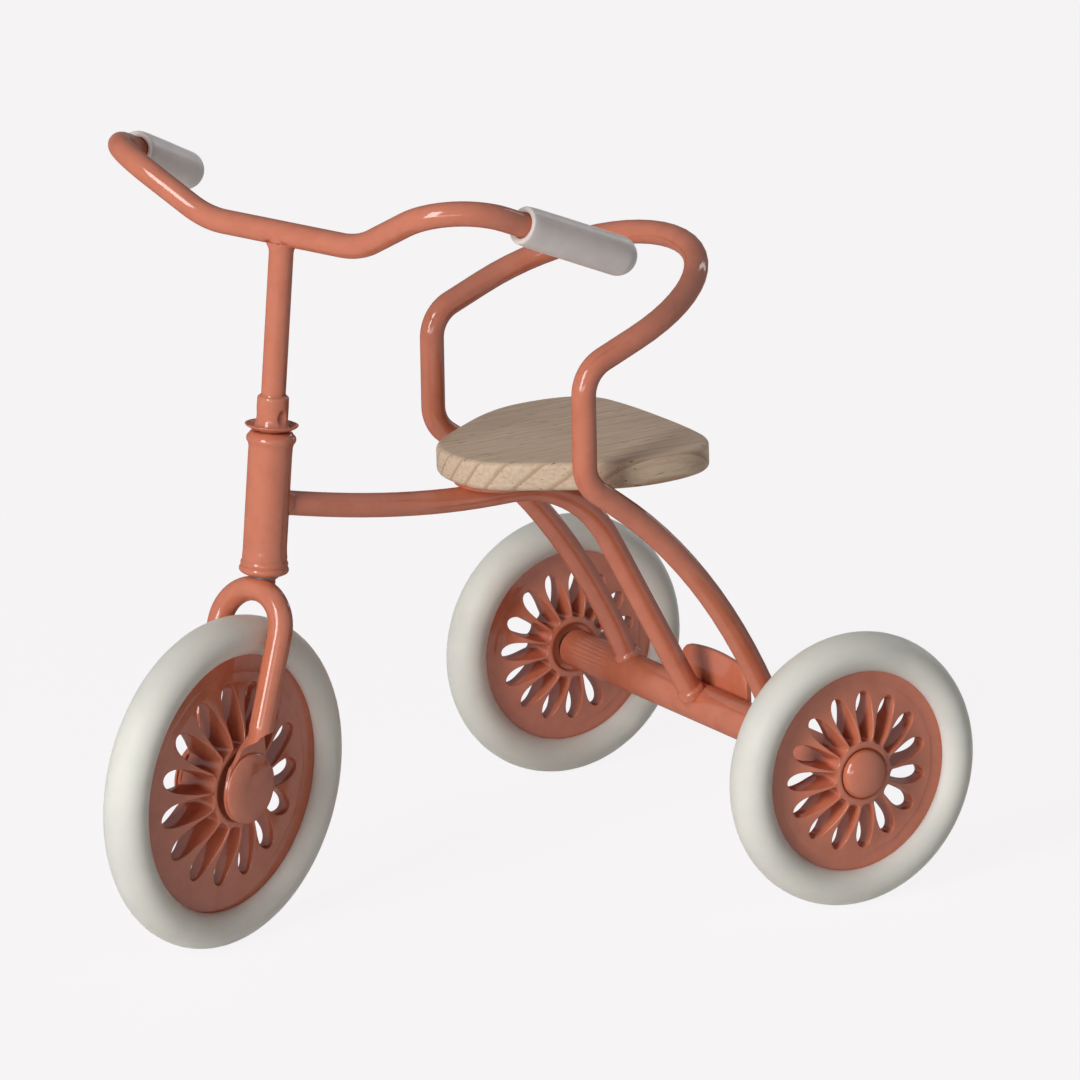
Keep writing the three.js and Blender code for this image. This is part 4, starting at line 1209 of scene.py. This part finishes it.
def petal_wheel(face, rim, rim_half, tip_half, hub, ring, band, lip, half):
    """The cast wheel about X: one petal's face, copied round, walled in and mirrored."""
    wheels = bpy.context.scene.tricycle_wheels
    pitch = 2 * math.pi / wheels.petals
    edge = face - band
    start = ring + 0.1 * MM
    # The outer end tapers like a leaf, over a good deal more than half its width.
    reach = wheels.taper * half
    centre = edge - lip - reach
    border = opening_border(start, half, centre, reach, wheels)
    tip = border[-1][1]
    # Rows of the grid: radius, the border's angle there, and a height where it is level.
    rows = [(r, 0, height) for r, height in hub_rows(hub, ring, wheels)]
    rows.append((ring + 0.04 * MM, 0, None))
    rows += [(math.hypot(x, y), math.atan2(x, y), None) for x, y in border]
    rows += [(tip + step * MM, 0, None) for step in (0.05, 0.11, 0.2)]
    rows += [((tip + edge) / 2, 0, None), (edge - 0.08 * MM, 0, None), (edge, 0, None)]
    first_rim_row = len(rows)
    rows.append((edge + 0.15 * MM, 0, (rim_half + tip_half) / 2))
    rows += [(r, 0, rim_half) for r in (edge + 0.4 * MM, (edge + face) / 2, face, rim)]
    # Columns beside the border, in millimetres from it.
    inset = (0, 0.03, 0.075, 0.13, 0.2)
    columns = 2 * len(inset) + 2
    piece = fresh(
        bpy.ops.mesh.primitive_grid_add, x_subdivisions=columns, y_subdivisions=len(rows) - 1,
        size=2,
    )
    for vertex in piece.data.vertices:
        row = round((vertex.co.y + 1) / 2 * (len(rows) - 1))
        column = round((vertex.co.x + 1) / 2 * columns)
        r, gap, level = rows[row]
        span = pitch / 2 - gap
        # The outer columns crowd along the border, the rest share the petal's top.
        close = min(1.0, span * r / NARROW_PETAL)
        left, right = column, columns - column
        if min(left, right) < len(inset):
            away = inset[min(left, right)] * MM * close / r
        else:
            first = inset[-1] * MM * close / r
            away = first + (span - first) * (min(left, right) - len(inset) + 1) / 2
        turn = math.copysign(span - away, column - columns / 2) if left != right else 0.0
        height = level
        reach = r
        if level is None:
            out = r * math.cos(turn)
            share = smooth((r - tip) / (edge - tip))
            reach = r * (1 + share * (math.cos(turn) ** PETAL_BOW - 1))
            height = petal_height(out, ring, edge, tip_half, wheels)
            beside = pitch / 2 - abs(turn)
            away = nearest(border, r * math.sin(beside), r * math.cos(beside))
            rounding = min(wheels.rounding, 0.75 * span * r)
            if away < rounding:
                height -= rounding - math.sqrt(rounding**2 - (rounding - away) ** 2)
        elif row >= first_rim_row and r < face - 0.1 * MM:
            reach = r * math.cos(turn) ** PETAL_BOW
        vertex.co = (height, reach * math.sin(turn), reach * math.cos(turn))
    only(piece)
    bpy.ops.object.mode_set(mode="EDIT")
    bpy.ops.mesh.select_all(action="SELECT")
    bpy.ops.mesh.spin(
        steps=wheels.petals - 1, dupli=True, angle=2 * math.pi - pitch, center=(0, 0, 0),
        axis=X_AXIS,
    )
    bpy.ops.mesh.select_all(action="SELECT")
    bpy.ops.mesh.remove_doubles(threshold=WIDE_GAP)
    select_where(piece, "edges", lambda side: side.is_boundary)
    for middle_plane in (False, True):
        bpy.ops.mesh.extrude_edges_move()
        wall_in(piece, middle_plane, pitch, wheels, centre, rim)
    bpy.ops.object.mode_set(mode="OBJECT")
    modified(piece, "MIRROR", use_axis=(True, False, False), merge_threshold=WIDE_GAP)
    return cleaned(piece, WIDE_GAP)


def wall_in(piece, middle_plane, pitch, wheels, centre, rim):
    """Sinks the selected border, first a little and then to the middle plane, with draft."""
    walls = bmesh.from_edit_mesh(piece.data)
    for vertex in walls.verts:
        if not vertex.select:
            continue
        depth = vertex.co.x if middle_plane else FIRST_WALL
        vertex.co.x -= depth
        r = math.hypot(vertex.co.y, vertex.co.z)
        if wheels.bore + 0.1 * MM < r < rim - 0.1 * MM:
            # An opening's centre is half a petal away from the nearest petals.
            turn = math.atan2(vertex.co.y, vertex.co.z) / pitch - 0.5
            middle_turn = (round(turn) + 0.5) * pitch
            out = Vector((0, math.sin(middle_turn), math.cos(middle_turn)))
            across = Vector((0, math.cos(middle_turn), -math.sin(middle_turn)))
            at_out, at_across = vertex.co.dot(out), vertex.co.dot(across)
            draw = depth * math.tan(wheels.draft)
            if at_out > centre:
                shrink = 1 - draw / max(0.5 * MM, math.hypot(at_across, at_out - centre))
                at_across *= shrink
                at_out = centre + (at_out - centre) * shrink
            else:
                at_across -= math.copysign(min(draw, abs(at_across) * 0.7), at_across)
            vertex.co = Vector((vertex.co.x, 0, 0)) + out * at_out + across * at_across
    bmesh.update_edit_mesh(piece.data)


def ring_tyre(tyre_radius, tyre_half, thickness, face, rim, rim_half):
    """A round solid tyre about X with the groove that seats on the rim."""
    centre = tyre_radius - thickness / 2
    groove = rim + 0.05 * MM
    half = rim_half + 0.05 * MM
    lip = math.acos(min(1.0, (centre - face) / (thickness / 2)))
    count = 30
    profile = [(-half, face), (-half - 0.12 * MM, face - 0.03 * MM)]
    for i in range(count + 1):
        turn = math.pi + lip + 2 * (math.pi - lip) * i / count
        profile.append((tyre_half * math.sin(turn), centre + thickness / 2 * math.cos(turn)))
    profile += [(half + 0.12 * MM, face - 0.03 * MM), (half, face), (half, groove)]
    return turned(profile + [(-half, groove)], 128)


WHEEL_SIZES = ("rim", "tip", "hub", "ring", "band", "lip", "opening")


class TRICYCLE_OT_wheels(bpy.types.Operator):
    """Casts the petal wheels, seats their tyres and presses the hub caps on"""

    bl_idname = "tricycle.wheels"
    bl_label = "Wheels"

    def execute(self, context):
        wheels = context.scene.tricycle_wheels
        across = Matrix.Translation(FRONT_AXLE) @ STEERED.to_3x3().to_4x4()
        front = [getattr(wheels, "front_" + size) for size in WHEEL_SIZES]
        self.wheel("front", across, wheels.front_turn, *front)
        rear = [getattr(wheels, "rear_" + size) for size in WHEEL_SIZES]
        turns = {"left": wheels.left_turn, "right": wheels.right_turn}
        for side_name, sign in SIDES:
            place = Matrix.Translation(middle(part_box(f"{side_name}_tyre")))
            self.wheel(side_name, place, turns[side_name], *rear)
            self.hub_cap(side_name, sign)
        return {"FINISHED"}

    def wheel(self, name, place, turn, rim_half, *sizes):
        wheels = bpy.context.scene.tricycle_wheels
        low, high = node_box(f"{name}_tyre", place)
        radius = (high.y - low.y) / 2
        rim = radius - wheels.tyre + RIM_DEPTH
        face = radius - wheels.tyre + FACE_DEPTH
        disc = petal_wheel(face, rim, rim_half, *sizes)
        # The first opening stands half a petal round from the top.
        half_petal = math.pi / wheels.petals
        placed(disc, place @ Matrix.Rotation(half_petal - turn, 4, "X"))
        kept(disc, f"{name}_petal_disc", f"{name}_wheel", "paint", f"{name}_wheel_disc", smooth=36)
        tyre = ring_tyre(radius, (high.x - low.x) / 2, wheels.tyre, face, rim, rim_half)
        placed(tyre, place)
        kept(tyre, f"{name}_tyre_ring", f"{name}_wheel", "tyre", f"{name}_tyre", smooth=60)

    def hub_cap(self, side_name, sign):
        box = node_box(f"{side_name}_hub_cap")
        wheels = bpy.context.scene.tricycle_wheels
        # The dome fills the sunken face of the hub but for a running gap.
        radius = wheels.rear_ring - wheels.ring_width - 0.03 * MM
        height = box[1].x - box[0].x
        wall = 0.45 * MM
        steps = 14
        profile = [(0, 0), (0, radius - 0.16 * MM), (0.3 * MM, radius)]
        for i in range(steps):
            turn = math.pi / 2 * i / steps
            profile.append((wall + (height - wall) * math.sin(turn), radius * math.cos(turn)))
        piece = capped(profile + [(height, 0)], 72, sign, box)
        kept(piece, f"{side_name}_dome_cap", "frame", "paint", f"{side_name}_hub_cap")


class TRICYCLE_OT_small_steel(bpy.types.Operator):
    """Gives the pins, spacers and screws that stay as they are their finish"""

    bl_idname = "tricycle.small_steel"
    bl_label = "Pins, spacers and screws"

    def execute(self, context):
        slots = {row["node"]: row["material_slot"] for row in frame["record"]["subparts"]}
        for name, shown in frame["nodes"].items():
            if not shown.hide_render:
                painted(shown, slots[name])
        return {"FINISHED"}


# ---- stage


def seen_from(azimuth, elevation):
    """The direction from the tricycle to a lamp or to the camera."""
    flat = math.cos(elevation)
    return Vector((math.sin(azimuth) * flat, -math.cos(azimuth) * flat, math.sin(elevation)))


class TRICYCLE_OT_stage(bpy.types.Operator):
    """Lays the pale floor and sets the lamps, the world and the camera"""

    bl_idname = "tricycle.stage"
    bl_label = "Floor, lamps and camera"

    def execute(self, context):
        stage = context.scene.tricycle_stage
        self.floor(stage)
        self.world(stage)
        self.lamps()
        self.camera(stage)
        context.scene.view_settings.view_transform = "Standard"
        return {"FINISHED"}

    def floor(self, stage):
        floor = fresh(bpy.ops.mesh.primitive_plane_add, size=8)
        floor.name = "pale_floor"
        material, tree, shader = new_material("pale_floor")
        wire(
            tree, shader, Base_Color=(*stage.floor, 1), Roughness=0.9, Specular_IOR_Level=0.0
        )
        glow = node(tree, "Emission", Color=(*stage.backdrop, 1), Strength=1.0)
        # A tenth of the floor's own look stays, and with it the shadow.
        self.mixed(tree, maths(tree, "MULTIPLY", self.seen_share(tree), 0.9), shader, glow)
        floor.data.materials.append(material)

    def mixed(self, tree, share, first, second):
        """Sends a blend of two shaders to the tree's output."""
        blend = node(tree, "MixShader", Fac=share)
        for socket, shader in zip(blend.inputs[1:], (first, second)):
            tree.links.new(shader.outputs[0], socket)
        output = next(n for n in tree.nodes if n.type.startswith("OUTPUT"))
        tree.links.new(blend.outputs[0], output.inputs["Surface"])

    def seen_share(self, tree):
        """One for the rays that look at the studio or mirror it, nought for its light."""
        path = node(tree, "LightPath").outputs
        seen = maths(tree, "MAXIMUM", path["Is Camera Ray"], path["Is Glossy Ray"])
        return maths(tree, "MAXIMUM", seen, path["Is Transmission Ray"])

    def world(self, stage):
        world = bpy.data.worlds.new("pale_studio")
        bpy.context.scene.world = world
        world.use_nodes = True
        tree = world.node_tree
        tree.nodes.clear()
        tree.nodes.new("ShaderNodeOutputWorld")
        room = node(tree, "Background", Color=(0.98, 0.98, 1.0, 1), Strength=0.08)
        seen = node(tree, "Background", Color=(*stage.backdrop, 1), Strength=1.0)
        self.mixed(tree, self.seen_share(tree), room, seen)

    def lamps(self):
        """Each lamp's name, turn and height in degrees, distance, width, height and watts."""
        self.lamp("key_softbox", 22, 23, 1.5, 0.46, 1.05, 17.4)
        self.lamp("rim_strip", 200, 20, 1.5, 0.14, 0.9, 3.0)
        self.lamp("low_fill", 46, 5, 1.5, 0.9, 0.24, 2.6)

    def lamp(self, name, azimuth, elevation, distance, width, height, watts):
        back = seen_from(math.radians(azimuth), math.radians(elevation))
        place = middle(CAD_BOUNDS) + back * distance
        lamp = fresh(bpy.ops.object.light_add, type="AREA", location=place)
        lamp.name = name
        lamp.rotation_euler = (-back).to_track_quat("-Z", "Y").to_euler()
        lamp.data.shape = "RECTANGLE"
        lamp.data.size, lamp.data.size_y = width, height
        lamp.data.energy = watts

    def camera(self, stage):
        back = seen_from(stage.azimuth, stage.elevation)
        right = Vector((math.cos(stage.azimuth), math.sin(stage.azimuth), 0))
        up = back.cross(right)
        lean, tip = math.cos(stage.roll), math.sin(stage.roll)
        x = right * lean + up * tip
        y = up * lean - right * tip
        place = REAR_AXLE + back * stage.distance + right * stage.aim_right + up * stage.aim_up
        camera = fresh(bpy.ops.object.camera_add)
        turn = Matrix((x, y, back)).transposed().to_4x4()
        camera.matrix_world = Matrix.Translation(place) @ turn
        camera.data.lens = stage.lens
        camera.data.sensor_width = 36
        camera.data.clip_start, camera.data.clip_end = 0.05, 20
        bpy.context.scene.camera = camera


# ---- add-on


GROUPS = {
    "tricycle_finishes": TricycleFinishes, "tricycle_rods": TricycleRods,
    "tricycle_wheels": TricycleWheels, "tricycle_seat": TricycleSeat,
    "tricycle_stage": TricycleStage,
}
OPERATORS = (
    TRICYCLE_OT_stage, TRICYCLE_OT_backrest, TRICYCLE_OT_main_tube, TRICYCLE_OT_head_tube,
    TRICYCLE_OT_axle_tube, TRICYCLE_OT_seat, TRICYCLE_OT_handlebar, TRICYCLE_OT_fork,
    TRICYCLE_OT_wheels, TRICYCLE_OT_small_steel,
)


class TRICYCLE_PT_sidebar(bpy.types.Panel):
    """The tricycle's sizes and the steps that build it"""

    bl_label = "Tricycle"
    bl_idname = "TRICYCLE_PT_sidebar"
    bl_space_type = "VIEW_3D"
    bl_region_type = "UI"
    bl_category = "Tricycle"

    def draw(self, context):
        layout = self.layout
        for operator in OPERATORS:
            layout.operator(operator.bl_idname)
        for name, group in GROUPS.items():
            box = layout.box()
            for field in group.__annotations__:
                box.prop(getattr(context.scene, name), field)


CLASSES = (*GROUPS.values(), *OPERATORS, TRICYCLE_PT_sidebar)


def register():
    for made in CLASSES:
        bpy.utils.register_class(made)
    for name, group in GROUPS.items():
        setattr(bpy.types.Scene, name, PointerProperty(type=group))


def unregister():
    for name in GROUPS:
        delattr(bpy.types.Scene, name)
    for made in reversed(CLASSES):
        bpy.utils.unregister_class(made)


def main():
    register()
    for operator in OPERATORS:
        area, name = operator.bl_idname.split(".")
        getattr(getattr(bpy.ops, area), name)()


if __name__ == "__main__":
    main()
